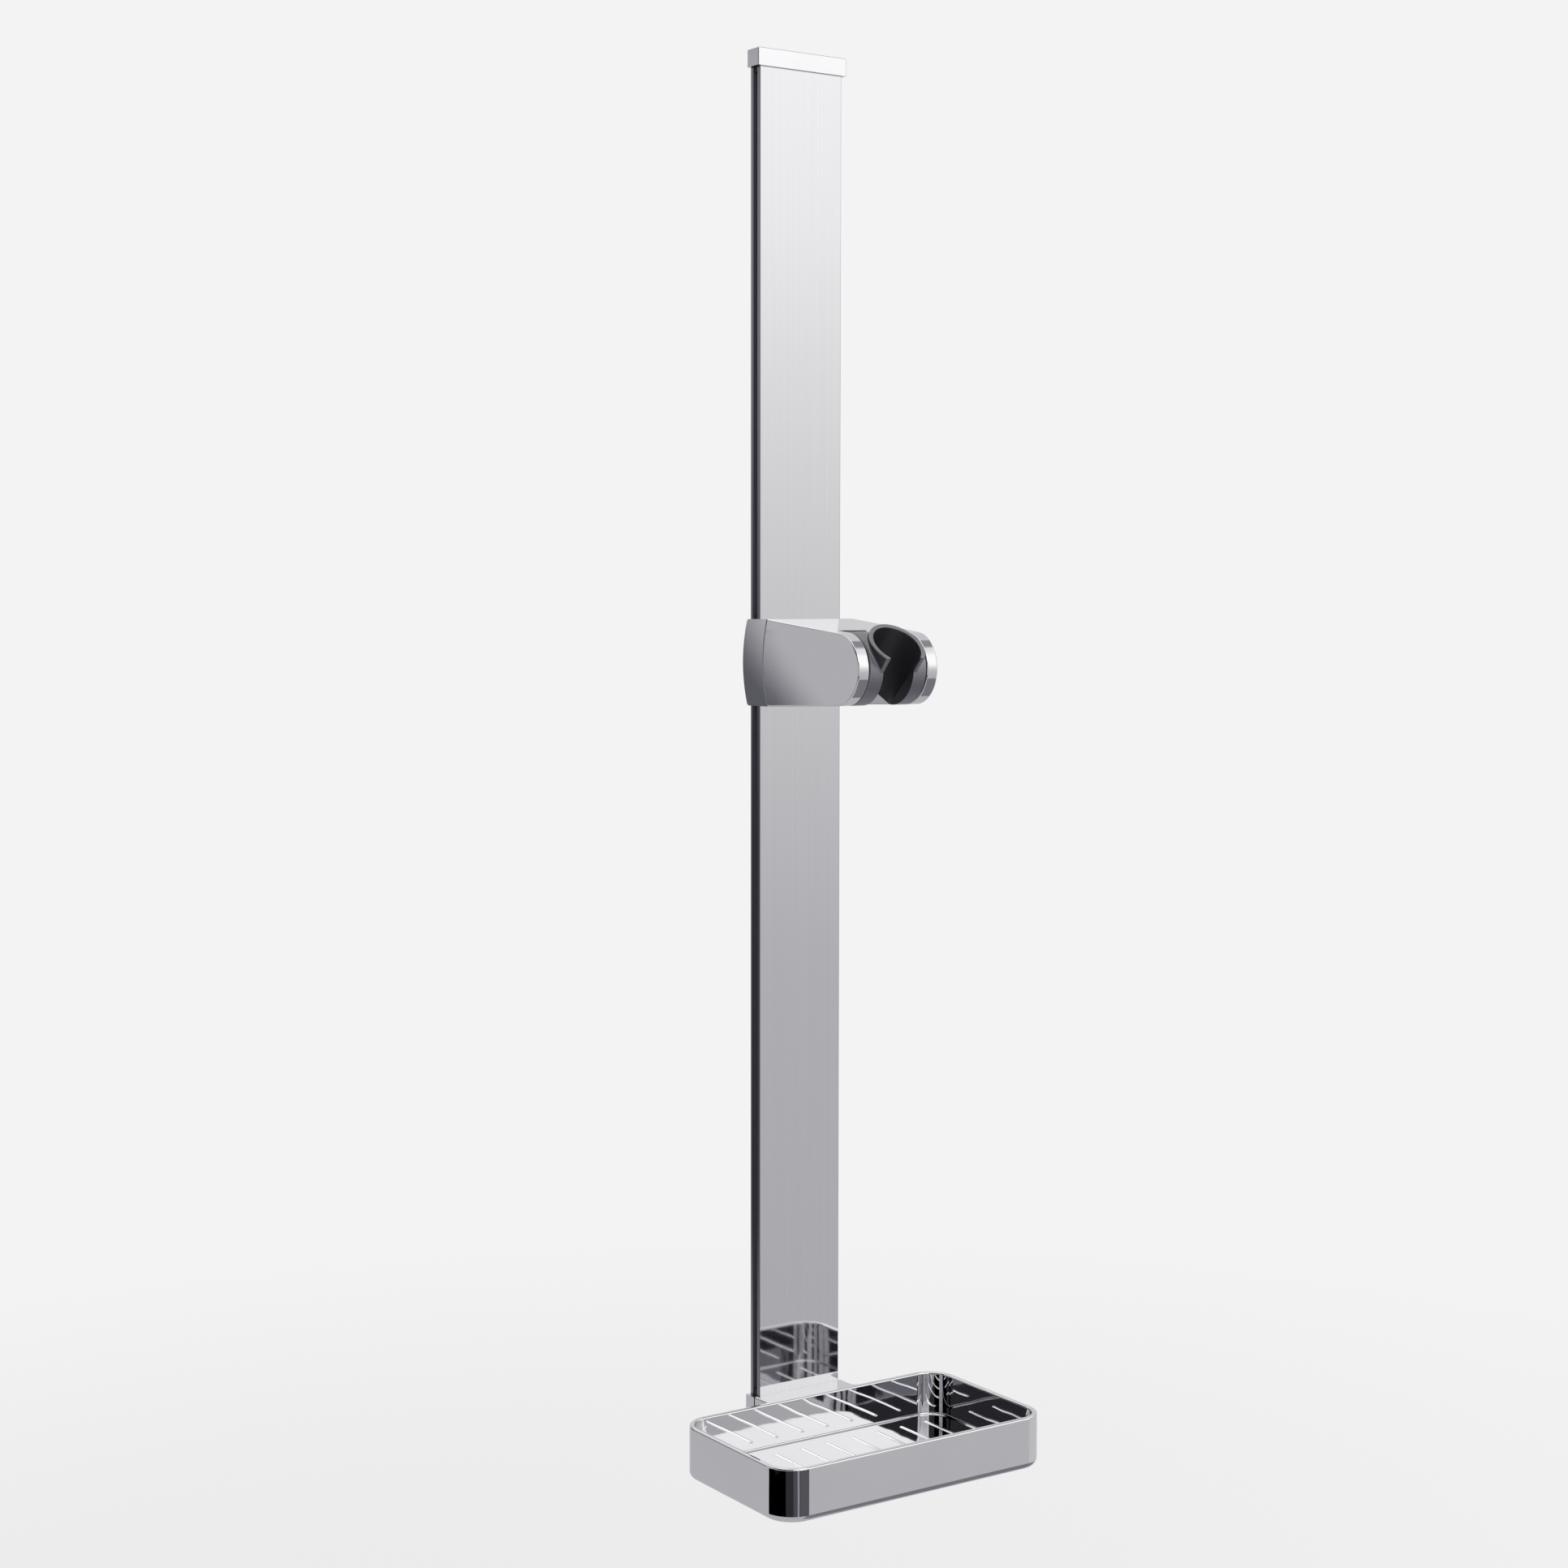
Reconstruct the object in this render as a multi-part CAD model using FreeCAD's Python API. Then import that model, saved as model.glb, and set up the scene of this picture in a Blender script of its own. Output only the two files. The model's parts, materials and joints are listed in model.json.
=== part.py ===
"""Shower slide rail with a sliding hand-shower holder and a soap tray.

Frame: millimetres. X runs along the wall, +Y points into the wall, +Z is up. The wall plane is
Y = 0 and the origin is the middle of the two wall screws. A bright aluminium rail hangs on two
wall brackets, a chrome cap closes its top and a chrome tray is clamped round its foot. A carriage
slides on the rail and carries a forked housing, and a grey holder tilts between the two arms.
"""
import FreeCAD, Part
import math
import os

# Rail: a flat extrusion with a groove down each side and an open channel down its back
RAIL_WIDTH = 50.0
RAIL_DEPTH = 8.5
RAIL_LENGTH = 703.4
RAIL_FRONT_WALL = 2.1
RAIL_FRONT_LIP = 2.4
GROOVE_WIDTH = 3.6
GROOVE_DEPTH = 5.0
CHANNEL_WIDTH = 35.0
CHANNEL_MOUTH = 24.0
RAIL_EDGE_ROUND = 0.3
WALL_GAP = 4.5

# Wall brackets
UPPER_SCREW_DROP = 44.9
LOWER_SCREW_RISE = 58.5
BRACKET_HEIGHT = 30.0
WALL_SCREW_HOLE = 5.2
WALL_SCREW_HEAD = 9.6
WALL_SCREW_GRIP = 6.0
BRACKET_EDGE = 0.8

# Top cap and the two end plugs
CAP_HEIGHT = 8.9
CAP_SIDE_OVERHANG = 2.15
CAP_FRONT_OVERHANG = 1.5
CAP_DEPTH = 10.0
CAP_TOP_WALL = 1.8
CAP_EDGE_ROUND = 0.6
PLUG_PLATE = 1.4
PLUG_TONGUE = 20.0
TOP_STOP_LENGTH = 8.3
BOTTOM_STOP_LENGTH = 19.8
HANGING_SCREW_D = 4.0
HANGING_SCREW_LENGTH = 38.0
HANGING_HEAD_D = 7.0
HANGING_HEAD = 1.2
HANGING_DRIVE = 1.2

# Soap tray
TRAY_WIDTH = 163.6
TRAY_REACH = 94.5
TRAY_HEIGHT = 27.0
TRAY_WALL = 2.8
TRAY_FLOOR = 2.8
TRAY_FLOOR_DEPTH = 22.6
TRAY_CORNER = 15.0
TRAY_BOTTOM_ROUND = 3.5
TRAY_FLOOR_ROUND = 1.0
TRAY_RIM_ROUND = 1.0
TRAY_STANDOFF = 11.3
TRAY_ABOVE_RAIL_FOOT = 17.1
TRAY_FOOT_RING = 7.0
RIB_COUNT = 9
RIB_PITCH = 16.0
RIB_WIDTH = 2.6
RIB_HEIGHT = 0.55
RIB_END_MARGIN = 10.5

# Neck of the tray and the jaw that clamps the rail from behind
NECK_SIDE_WALL = 2.15
NECK_LIP = 1.0
NECK_BLEND = 3.5
NECK_FOOT = 1.5
JAW_GAP = 0.9
JAW_BACK_WALL = 2.0
JAW_STEP_DOWN = 0.8
JAW_ROUND = 1.6
CLAMP_SCREW_D = 3.0
CLAMP_SCREW_SPACING = 30.0
CLAMP_SCREW_LENGTH = 18.0
CLAMP_DRIVE = 1.0
CLAMP_DRIVE_DEPTH = 1.0

# Slider: heights count from the holder's axis, distances from the rail's front face
HOLDER_HEIGHT = 38.1
HOLDER_REACH = 66.8
PARTING_TOP = 24.0
PARTING_BOTTOM = 20.2
PARTING_REACH = 9.1
PARTING_BOW = 2.6
PARTING_GAP = 0.3
REAR_WRAP = 8.5
REAR_BOW = 3.0
REAR_CORNER = 1.8
SLIDER_HALF_WIDTH = 27.9
CROWN_PLAN_RADIUS = 940.0
CROWN_SIDE_RADIUS = 300.0
SIDE_COVER = 1.2
COVER_EDGE_ROUND = 0.7
ARM_ROUND = 0.5

# Holder: a cylinder between the arms with a split cone for the hand shower
HOLDER_RADIUS = 18.0
HOLDER_HALF_LENGTH = 17.1
HOLDER_TILT = 41.7
HOLDER_END_CHAMFER = 0.3
CONE_OFFSET = 4.5
CONE_RIM_HEIGHT = 20.4
CONE_RIM_RADIUS = 12.75
CONE_FOOT_RADIUS = 10.8
CONE_WALL = 2.3
CONE_RIM_ROUND = 0.6
CONE_BLEND = 1.2
EAR_FRONT = 14.3
SLOT_WIDTH = 18.4

# Pivots of the holder in the arms
ARM_GAP = 0.5
POCKET_CLEARANCE = 0.5
LIP_SETBACK = 7.8
HOSE_RELIEF_DEPTH = 34.0
PIVOT_SHANK_D = 8.0
PIVOT_THREAD_D = 4.0
PIVOT_HEAD_D = 11.0
PIVOT_HEAD = 1.5
PIVOT_SLOT = 1.2
PIVOT_BEARING = 3.7
INSERT_D = 6.0
INSERT_LENGTH = 4.4
SPRING_WASHER = 0.6
FRICTION_WASHER = 0.75
FRICTION_WASHER_D = 20.0

# Carriage, glides and brake
CARRIAGE_CLEARANCE = 0.3
SIDE_CLEARANCE = 0.4
HOOK_REACH = 6.4
HOOK_HALF_HEIGHT = 14.0
GLIDE_LENGTH = 36.0
GLIDE_CLEARANCE = 0.3
GLIDE_NOSE = 0.6
GLIDE_PEG_D = 2.4
GLIDE_PEG_LENGTH = 1.1
GLIDE_PEG_SPACING = 24.0
CAVITY_DEPTH = 22.0
CAVITY_WALL = 3.3
BOSS_D = 8.0
BOSS_MERGE = 1.0
CARRIAGE_SCREW_D = 3.0
CARRIAGE_SCREW_HEAD_D = 5.8
CARRIAGE_SCREW_LENGTH = 16.0
CARRIAGE_DRIVE = 1.2
CARRIAGE_DRIVE_DEPTH = 1.1
BRAKE_PAD_D = 12.0
BRAKE_PAD = 2.0
BRAKE_BORE_CLEARANCE = 0.2
BRAKE_DISC = 5.2
BRAKE_STEM_D = 5.2
BRAKE_STEM_LENGTH = 12.0
SPRING_WIRE = 0.9
SPRING_RADIUS = 3.9
SPRING_TURNS = 5
SPRING_FACETS = 8

# Clearances between pieces of one body
FIT = 0.15
THREAD_FIT = 0.05
BEARING_FIT = 0.05

# Places worked out from the sizes above
SCREW_SPACING = RAIL_LENGTH - UPPER_SCREW_DROP - LOWER_SCREW_RISE
RAIL_FRONT = -(RAIL_DEPTH + WALL_GAP)
RAIL_BACK = -WALL_GAP
RAIL_TOP = SCREW_SPACING / 2 + UPPER_SCREW_DROP
RAIL_FOOT = RAIL_TOP - RAIL_LENGTH
RAIL_HALF = RAIL_WIDTH / 2
GROOVE_FRONT = RAIL_FRONT + RAIL_FRONT_LIP
GROOVE_BACK = GROOVE_FRONT + GROOVE_WIDTH
GROOVE_FLOOR = RAIL_HALF - GROOVE_DEPTH
CHANNEL_FRONT = RAIL_FRONT + RAIL_FRONT_WALL
CHANNEL_HALF = CHANNEL_WIDTH / 2
MOUTH_HALF = CHANNEL_MOUTH / 2
CAP_TOP = RAIL_TOP + PLUG_PLATE + CAP_TOP_WALL
TRAY_RIM = RAIL_FOOT + TRAY_ABOVE_RAIL_FOOT
TRAY_BASE = TRAY_RIM - TRAY_HEIGHT
TRAY_BACK = RAIL_FRONT - TRAY_STANDOFF
TRAY_FRONT = TRAY_BACK - TRAY_REACH
NECK_HALF = RAIL_HALF + FIT + NECK_SIDE_WALL
NECK_BASE = TRAY_BASE + NECK_FOOT
SOCKET_FLOOR = RAIL_FOOT - PLUG_PLATE
CLAMP_SCREW_HEIGHT = (NECK_BASE + SOCKET_FLOOR) / 2
JAW_FRONT = RAIL_FRONT + NECK_LIP + JAW_GAP
JAW_BACK = RAIL_BACK + JAW_BACK_WALL
AXIS_Y = RAIL_FRONT - HOLDER_REACH
AXIS_Z = HOLDER_HEIGHT
ARM_INNER = HOLDER_HALF_LENGTH + ARM_GAP
PARTING_MIDDLE = (PARTING_TOP - PARTING_BOTTOM) / 2
CAVITY_FRONT = RAIL_FRONT - PARTING_REACH - CAVITY_DEPTH + PARTING_BOW
BEYOND = 2.0


def box(x0, x1, y0, y1, z0, z1):
    """A box between two corners."""
    return Part.makeBox(x1 - x0, y1 - y0, z1 - z0, FreeCAD.Vector(x0, y0, z0))


def rod(radius, start, end):
    """A cylinder of one radius from a start point to an end point."""
    start = FreeCAD.Vector(*start)
    way = FreeCAD.Vector(*end) - start
    return Part.makeCylinder(radius, way.Length, start, way)


def taper(radius_start, radius_end, start, end):
    """A truncated cone from a start point to an end point."""
    start = FreeCAD.Vector(*start)
    way = FreeCAD.Vector(*end) - start
    return Part.makeCone(radius_start, radius_end, way.Length, start, way)


def hexagon(radius, start, way):
    """A six-sided prism from a start point along a vector, for a screw's drive."""
    turns = [math.radians(angle) for angle in range(0, 361, 60)]
    points = [FreeCAD.Vector(math.cos(a), math.sin(a), 0) * radius for a in turns]
    prism = Part.Face(Part.makePolygon(points)).extrude(FreeCAD.Vector(0, 0, way.Length))
    prism.Placement = FreeCAD.Placement(start, FreeCAD.Rotation(FreeCAD.Vector(0, 0, 1), way))
    return prism


def mirrored(shape):
    """The same shape on the other side of the plane X = 0."""
    return shape.mirror(FreeCAD.Vector(0, 0, 0), FreeCAD.Vector(1, 0, 0))


def both_sides(shape):
    """A shape together with its mirror image across X = 0."""
    return shape.fuse(mirrored(shape))


def rounded(shape, radius, picked):
    """Fillet the edges for which picked(edge) holds."""
    return shape.makeFillet(radius, [edge for edge in shape.Edges if picked(edge)])


def along(edge, axis):
    """True for a straight edge that runs along axis 0, 1 or 2."""
    if not isinstance(edge.Curve, Part.Line):
        return False
    return abs(abs(edge.Curve.Direction[axis]) - 1) < 1e-6


def level(edge, height):
    """True for an edge that lies wholly at one height."""
    bounds = edge.BoundBox
    return abs(bounds.ZMin - height) < 1e-4 and abs(bounds.ZMax - height) < 1e-4


def rounded_plan(half_width, y0, y1, z0, z1, radius):
    """A prism with a rounded rectangle as its plan."""
    prism = box(-half_width, half_width, y0, y1, z0, z1)
    return rounded(prism, radius, lambda edge: along(edge, 2))


def side_prism(edges, x0, x1):
    """Extrude a closed outline of the YZ plane from x0 to x1."""
    face = Part.Face(Part.Wire(edges))
    face.translate(FreeCAD.Vector(x0, 0, 0))
    return face.extrude(FreeCAD.Vector(x1 - x0, 0, 0))


def side_line(start, end):
    """A straight edge between two (y, z) points."""
    return Part.LineSegment(FreeCAD.Vector(0, *start), FreeCAD.Vector(0, *end)).toShape()


def side_arc(start, middle, end):
    """An arc through three (y, z) points."""
    points = [FreeCAD.Vector(0, *point) for point in (start, middle, end)]
    return Part.Arc(*points).toShape()


# Rail and what is fixed to it

def rail_profile():
    """The extrusion: front wall, side grooves, back lips and the open back channel."""
    body = box(-RAIL_HALF, RAIL_HALF, RAIL_FRONT, RAIL_BACK, RAIL_FOOT, RAIL_TOP)
    body = rounded(body, RAIL_EDGE_ROUND, lambda edge: along(edge, 2))
    low = RAIL_FOOT - BEYOND
    high = RAIL_TOP + BEYOND
    groove = box(GROOVE_FLOOR, RAIL_HALF + BEYOND, GROOVE_FRONT, GROOVE_BACK, low, high)
    channel = box(-CHANNEL_HALF, CHANNEL_HALF, CHANNEL_FRONT, GROOVE_BACK, low, high)
    mouth = box(-MOUTH_HALF, MOUTH_HALF, GROOVE_BACK - BEYOND / 4, RAIL_BACK + BEYOND, low, high)
    return body.cut(both_sides(groove)).cut(channel.fuse(mouth))


def channel_slide(z0, z1, back):
    """A T-shaped block that fills the back channel and leaves through its mouth."""
    flange = box(-CHANNEL_HALF + GLIDE_CLEARANCE, CHANNEL_HALF - GLIDE_CLEARANCE,
                 CHANNEL_FRONT + GLIDE_CLEARANCE, GROOVE_BACK - GLIDE_CLEARANCE, z0, z1)
    stem = box(-MOUTH_HALF + GLIDE_CLEARANCE, MOUTH_HALF - GLIDE_CLEARANCE,
               CHANNEL_FRONT + GLIDE_CLEARANCE, back, z0, z1)
    return flange.fuse(stem).removeSplitter()


def wall_bracket(height, upper):
    """A bracket in the rail's channel, with the wall screw's hole; the upper one takes a thread."""
    z0 = height - BRACKET_HEIGHT / 2
    z1 = height + BRACKET_HEIGHT / 2
    block = channel_slide(z0, z1, 0.0)
    block = rounded(block, BRACKET_EDGE, lambda edge: along(edge, 0) and edge.BoundBox.YMin > -0.01)
    block = block.cut(rod(WALL_SCREW_HOLE / 2, (0, RAIL_FRONT, height), (0, BEYOND, height)))
    block = block.cut(rod(WALL_SCREW_HEAD / 2, (0, RAIL_FRONT, height), (0, -WALL_SCREW_GRIP, height)))
    if not upper:
        return block
    y = hanging_screw_y()
    thread = rod(HANGING_SCREW_D / 2 + THREAD_FIT, (0, y, hanging_screw_end() - 0.5), (0, y, z1 + 1))
    return block.cut(thread)


def hanging_screw_y():
    """Where the hanging screw stands: the middle of the stem that leaves the channel."""
    return (CHANNEL_FRONT + RAIL_BACK) / 2 + 0.5


def hanging_screw_end():
    """The height of the hanging screw's tip."""
    return RAIL_TOP + PLUG_PLATE - HANGING_HEAD - HANGING_SCREW_LENGTH


def hanging_screw():
    """The screw that draws the top plug, and with it the rail, down to the upper bracket."""
    y = hanging_screw_y()
    seat = RAIL_TOP + PLUG_PLATE - HANGING_HEAD
    shank = rod(HANGING_SCREW_D / 2, (0, y, seat), (0, y, hanging_screw_end()))
    head = rod(HANGING_HEAD_D / 2, (0, y, seat), (0, y, seat + HANGING_HEAD))
    bottom = FreeCAD.Vector(0, y, seat + HANGING_HEAD / 3)
    socket = hexagon(HANGING_DRIVE, bottom, FreeCAD.Vector(0, 0, HANGING_HEAD))
    return shank.fuse(head).cut(socket).removeSplitter()


def groove_stop(z0, z1):
    """The plug's lug that fills one side groove and stops the glides."""
    return box(GROOVE_FLOOR + GLIDE_CLEARANCE, RAIL_HALF - GLIDE_CLEARANCE,
               GROOVE_FRONT + FIT, GROOVE_BACK - FIT, z0, z1)


def top_plug():
    """The black end plug under the cap: plate, tongue in the channel and a stop in each groove."""
    plate = box(-RAIL_HALF + FIT, RAIL_HALF - FIT, RAIL_FRONT + FIT, RAIL_BACK - FIT, RAIL_TOP,
                RAIL_TOP + PLUG_PLATE)
    tongue = channel_slide(RAIL_TOP - PLUG_TONGUE, RAIL_TOP, RAIL_BACK - FIT)
    stops = both_sides(groove_stop(RAIL_TOP - TOP_STOP_LENGTH, RAIL_TOP))
    plug = plate.fuse([tongue, stops]).removeSplitter()
    y = hanging_screw_y()
    hole = rod(HANGING_SCREW_D / 2 + FIT, (0, y, RAIL_TOP - PLUG_TONGUE - 1), (0, y, CAP_TOP))
    seat = RAIL_TOP + PLUG_PLATE - HANGING_HEAD
    recess = rod(HANGING_HEAD_D / 2 + FIT, (0, y, seat), (0, y, CAP_TOP))
    return plug.cut(hole.fuse(recess))


def bottom_plug():
    """The black end plug at the foot, with the lower stops in the side grooves."""
    half = RAIL_HALF - FIT
    plate = box(-half, half, RAIL_FRONT + FIT, RAIL_BACK - FIT, SOCKET_FLOOR, RAIL_FOOT)
    tongue = channel_slide(RAIL_FOOT, RAIL_FOOT + PLUG_TONGUE, RAIL_BACK - FIT)
    stops = both_sides(groove_stop(RAIL_FOOT, RAIL_FOOT + BOTTOM_STOP_LENGTH))
    return plate.fuse([tongue, stops]).removeSplitter()


def top_cap():
    """The chrome cap that slides over the top plug from the front; it is open at the wall side."""
    half = RAIL_HALF + CAP_SIDE_OVERHANG
    front = RAIL_FRONT - CAP_FRONT_OVERHANG
    back = front + CAP_DEPTH
    shell = box(-half, half, front, back, CAP_TOP - CAP_HEIGHT, CAP_TOP)
    shell = rounded(shell, CAP_EDGE_ROUND, lambda edge: not level(edge, CAP_TOP - CAP_HEIGHT))
    hollow = box(-RAIL_HALF - FIT, RAIL_HALF + FIT, RAIL_FRONT - FIT, back + BEYOND,
                 CAP_TOP - CAP_HEIGHT - BEYOND, CAP_TOP - CAP_TOP_WALL)
    return shell.cut(hollow)


# Soap tray

def tray_shell():
    """The tray's outer block with its underside ring and the hollow of the dish."""
    half = TRAY_WIDTH / 2
    outer = rounded_plan(half, TRAY_FRONT, TRAY_BACK, TRAY_BASE, TRAY_RIM, TRAY_CORNER)
    outer = rounded(outer, TRAY_BOTTOM_ROUND, lambda edge: level(edge, TRAY_BASE))
    floor = TRAY_RIM - TRAY_FLOOR_DEPTH
    ring = TRAY_FOOT_RING
    under = rounded_plan(half - ring, TRAY_FRONT + ring, TRAY_BACK - ring, TRAY_BASE - BEYOND,
                         floor - TRAY_FLOOR, TRAY_CORNER - ring)
    return outer.cut(under)


def tray_hollow():
    """The space inside the dish, with a rounded floor edge."""
    wall = TRAY_WALL
    floor = TRAY_RIM - TRAY_FLOOR_DEPTH
    space = rounded_plan(TRAY_WIDTH / 2 - wall, TRAY_FRONT + wall, TRAY_BACK - wall, floor,
                         TRAY_RIM + BEYOND, TRAY_CORNER - wall)
    return rounded(space, TRAY_FLOOR_ROUND, lambda edge: level(edge, floor))


def tray_ribs():
    """Low ribs with rounded tops that keep the soap off the floor."""
    floor = TRAY_RIM - TRAY_FLOOR_DEPTH
    y0 = TRAY_FRONT + TRAY_WALL + RIB_END_MARGIN
    y1 = TRAY_BACK - TRAY_WALL - RIB_END_MARGIN
    end = RIB_WIDTH / 2
    radius = (RIB_HEIGHT ** 2 + end ** 2) / (2 * RIB_HEIGHT)
    ribs = []
    for index in range(RIB_COUNT):
        x = (index - (RIB_COUNT - 1) / 2) * RIB_PITCH
        z = floor + RIB_HEIGHT - radius
        crest = rod(radius, (x, y0 + end, z), (x, y1 - end, z))
        for y in (y0 + end, y1 - end):
            dome = Part.makeSphere(radius, FreeCAD.Vector(x, y, z), FreeCAD.Vector(0, 1, 0))
            crest = crest.fuse(dome)
        crest = crest.removeSplitter()
        ribs.append(crest.common(box(x - RIB_WIDTH, x + RIB_WIDTH, y0 - 1, y1 + 1, floor - 0.2, TRAY_RIM)))
    return ribs


def tray_neck():
    """The block behind the dish that holds the rail's foot."""
    return box(-NECK_HALF, NECK_HALF, TRAY_BACK - TRAY_WALL / 2, RAIL_FRONT + NECK_LIP, NECK_BASE, TRAY_RIM)


def rail_socket(y0, y1):
    """The space that the rail's foot and the bottom plug take up in the neck and in the jaw."""
    return box(-RAIL_HALF - FIT, RAIL_HALF + FIT, y0, y1, SOCKET_FLOOR, TRAY_RIM + BEYOND)


def clamp_screw_line(side, radius, start, end):
    """A rod on the axis of one clamp screw."""
    x = side * CLAMP_SCREW_SPACING / 2
    return rod(radius, (x, start, CLAMP_SCREW_HEIGHT), (x, end, CLAMP_SCREW_HEIGHT))


def tray():
    """The soap tray: dish, ribs and neck in one casting."""
    body = tray_shell().fuse(tray_neck()).removeSplitter()

    def meets_neck(edge):
        bounds = edge.BoundBox
        at_side = abs(abs(bounds.Center.x) - NECK_HALF) < 0.01
        return along(edge, 2) and at_side and abs(bounds.Center.y - TRAY_BACK) < 0.01

    body = rounded(body, NECK_BLEND, meets_neck)
    body = rounded(body, TRAY_RIM_ROUND, lambda edge: level(edge, TRAY_RIM))
    body = body.cut(tray_hollow())
    inner = TRAY_WIDTH / 2 - TRAY_WALL + 0.01

    def inside_rim(edge):
        bounds = edge.BoundBox
        within = abs(bounds.Center.x) < inner and bounds.YMax < TRAY_BACK - TRAY_WALL + 0.01
        return level(edge, TRAY_RIM) and within

    body = rounded(body, TRAY_RIM_ROUND, inside_rim)
    body = body.cut(rail_socket(RAIL_FRONT - THREAD_FIT, RAIL_BACK))
    for side in (-1, 1):
        end = RAIL_BACK - CLAMP_SCREW_LENGTH
        body = body.cut(clamp_screw_line(side, CLAMP_SCREW_D / 2 + THREAD_FIT, end, RAIL_BACK))
    return body.fuse(tray_ribs()).removeSplitter()


def tray_clamp_jaw():
    """The rear jaw that closes the neck round the rail's foot."""
    jaw = box(-NECK_HALF, NECK_HALF, JAW_FRONT, JAW_BACK, NECK_BASE, TRAY_RIM - JAW_STEP_DOWN)
    jaw = rounded(jaw, JAW_ROUND, lambda edge: edge.BoundBox.YMin > JAW_BACK - 0.01)
    jaw = jaw.cut(rail_socket(JAW_FRONT - BEYOND, RAIL_BACK + THREAD_FIT))
    for side in (-1, 1):
        jaw = jaw.cut(clamp_screw_line(side, CLAMP_SCREW_D / 2 + FIT, JAW_FRONT - 1, JAW_BACK + 1))
        x = side * CLAMP_SCREW_SPACING / 2
        start = (x, JAW_BACK, CLAMP_SCREW_HEIGHT)
        end = (x, JAW_BACK - CLAMP_SCREW_D / 2, CLAMP_SCREW_HEIGHT)
        jaw = jaw.cut(taper(CLAMP_SCREW_D - 0.1 + FIT, CLAMP_SCREW_D / 2 + FIT, start, end))
    return jaw


def tray_clamp_screws():
    """Two countersunk screws that pull the jaw to the neck."""
    screws = []
    for side in (-1, 1):
        x = side * CLAMP_SCREW_SPACING / 2
        tip = RAIL_BACK - CLAMP_SCREW_LENGTH + 0.5
        shank = clamp_screw_line(side, CLAMP_SCREW_D / 2, JAW_BACK - 0.2, tip)
        start = (x, JAW_BACK - 0.1, CLAMP_SCREW_HEIGHT)
        end = (x, JAW_BACK - 0.1 - CLAMP_SCREW_D / 2, CLAMP_SCREW_HEIGHT)
        screw = shank.fuse(taper(CLAMP_SCREW_D - 0.1, CLAMP_SCREW_D / 2, start, end))
        bottom = FreeCAD.Vector(x, JAW_BACK - 0.1 - CLAMP_DRIVE_DEPTH, CLAMP_SCREW_HEIGHT)
        drive = hexagon(CLAMP_DRIVE, bottom, FreeCAD.Vector(0, 2 * CLAMP_DRIVE_DEPTH, 0))
        screws.append(screw.cut(drive).removeSplitter())
    return Part.makeCompound(screws)


# Slider

def at_axis(dy, dz):
    """A (y, z) point given from the holder's axis."""
    return (AXIS_Y + dy, AXIS_Z + dz)


def tangent_point(dy, dz):
    """Where the line from a point of the side view touches the arms' round front."""
    away = math.atan2(dz, dy)
    turn = math.acos(HOLDER_RADIUS / math.hypot(dy, dz))
    angle = away + math.copysign(turn, dz)
    return (HOLDER_RADIUS * math.cos(angle), HOLDER_RADIUS * math.sin(angle))


def parting_arc(shift):
    """The bowed joint between carriage and housing, moved forward by shift."""
    ends = HOLDER_REACH - PARTING_REACH - shift
    middle = at_axis(ends + PARTING_BOW, PARTING_MIDDLE)
    return side_arc(at_axis(ends, PARTING_TOP), middle, at_axis(ends, -PARTING_BOTTOM))


def housing_prism(x0, x1, shift):
    """The housing's side view: bowed rear, straight top and bottom, round front."""
    ends = HOLDER_REACH - PARTING_REACH - shift
    top = (ends, PARTING_TOP)
    bottom = (ends, -PARTING_BOTTOM)
    top_touch = tangent_point(*top)
    bottom_touch = tangent_point(*bottom)
    edges = [parting_arc(shift)]
    edges.append(side_line(at_axis(*bottom), at_axis(*bottom_touch)))
    edges.append(side_arc(at_axis(*bottom_touch), at_axis(-HOLDER_RADIUS, 0), at_axis(*top_touch)))
    edges.append(side_line(at_axis(*top_touch), at_axis(*top)))
    return side_prism(edges, x0, x1)


def carriage_prism(x0, x1):
    """The carriage's side view: bowed at the joint and bowed behind the rail."""
    front = HOLDER_REACH - PARTING_REACH
    back = HOLDER_REACH + REAR_WRAP
    edges = [parting_arc(0.0)]
    edges.append(side_line(at_axis(front, PARTING_TOP), at_axis(back, PARTING_TOP)))
    edges.append(side_arc(at_axis(back, PARTING_TOP), at_axis(back + REAR_BOW, PARTING_MIDDLE),
                          at_axis(back, -PARTING_BOTTOM)))
    edges.append(side_line(at_axis(back, -PARTING_BOTTOM), at_axis(front, -PARTING_BOTTOM)))
    prism = side_prism(edges, x0, x1)
    return rounded(prism, REAR_CORNER, lambda edge: along(edge, 0) and edge.BoundBox.YMin > RAIL_FRONT)


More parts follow.
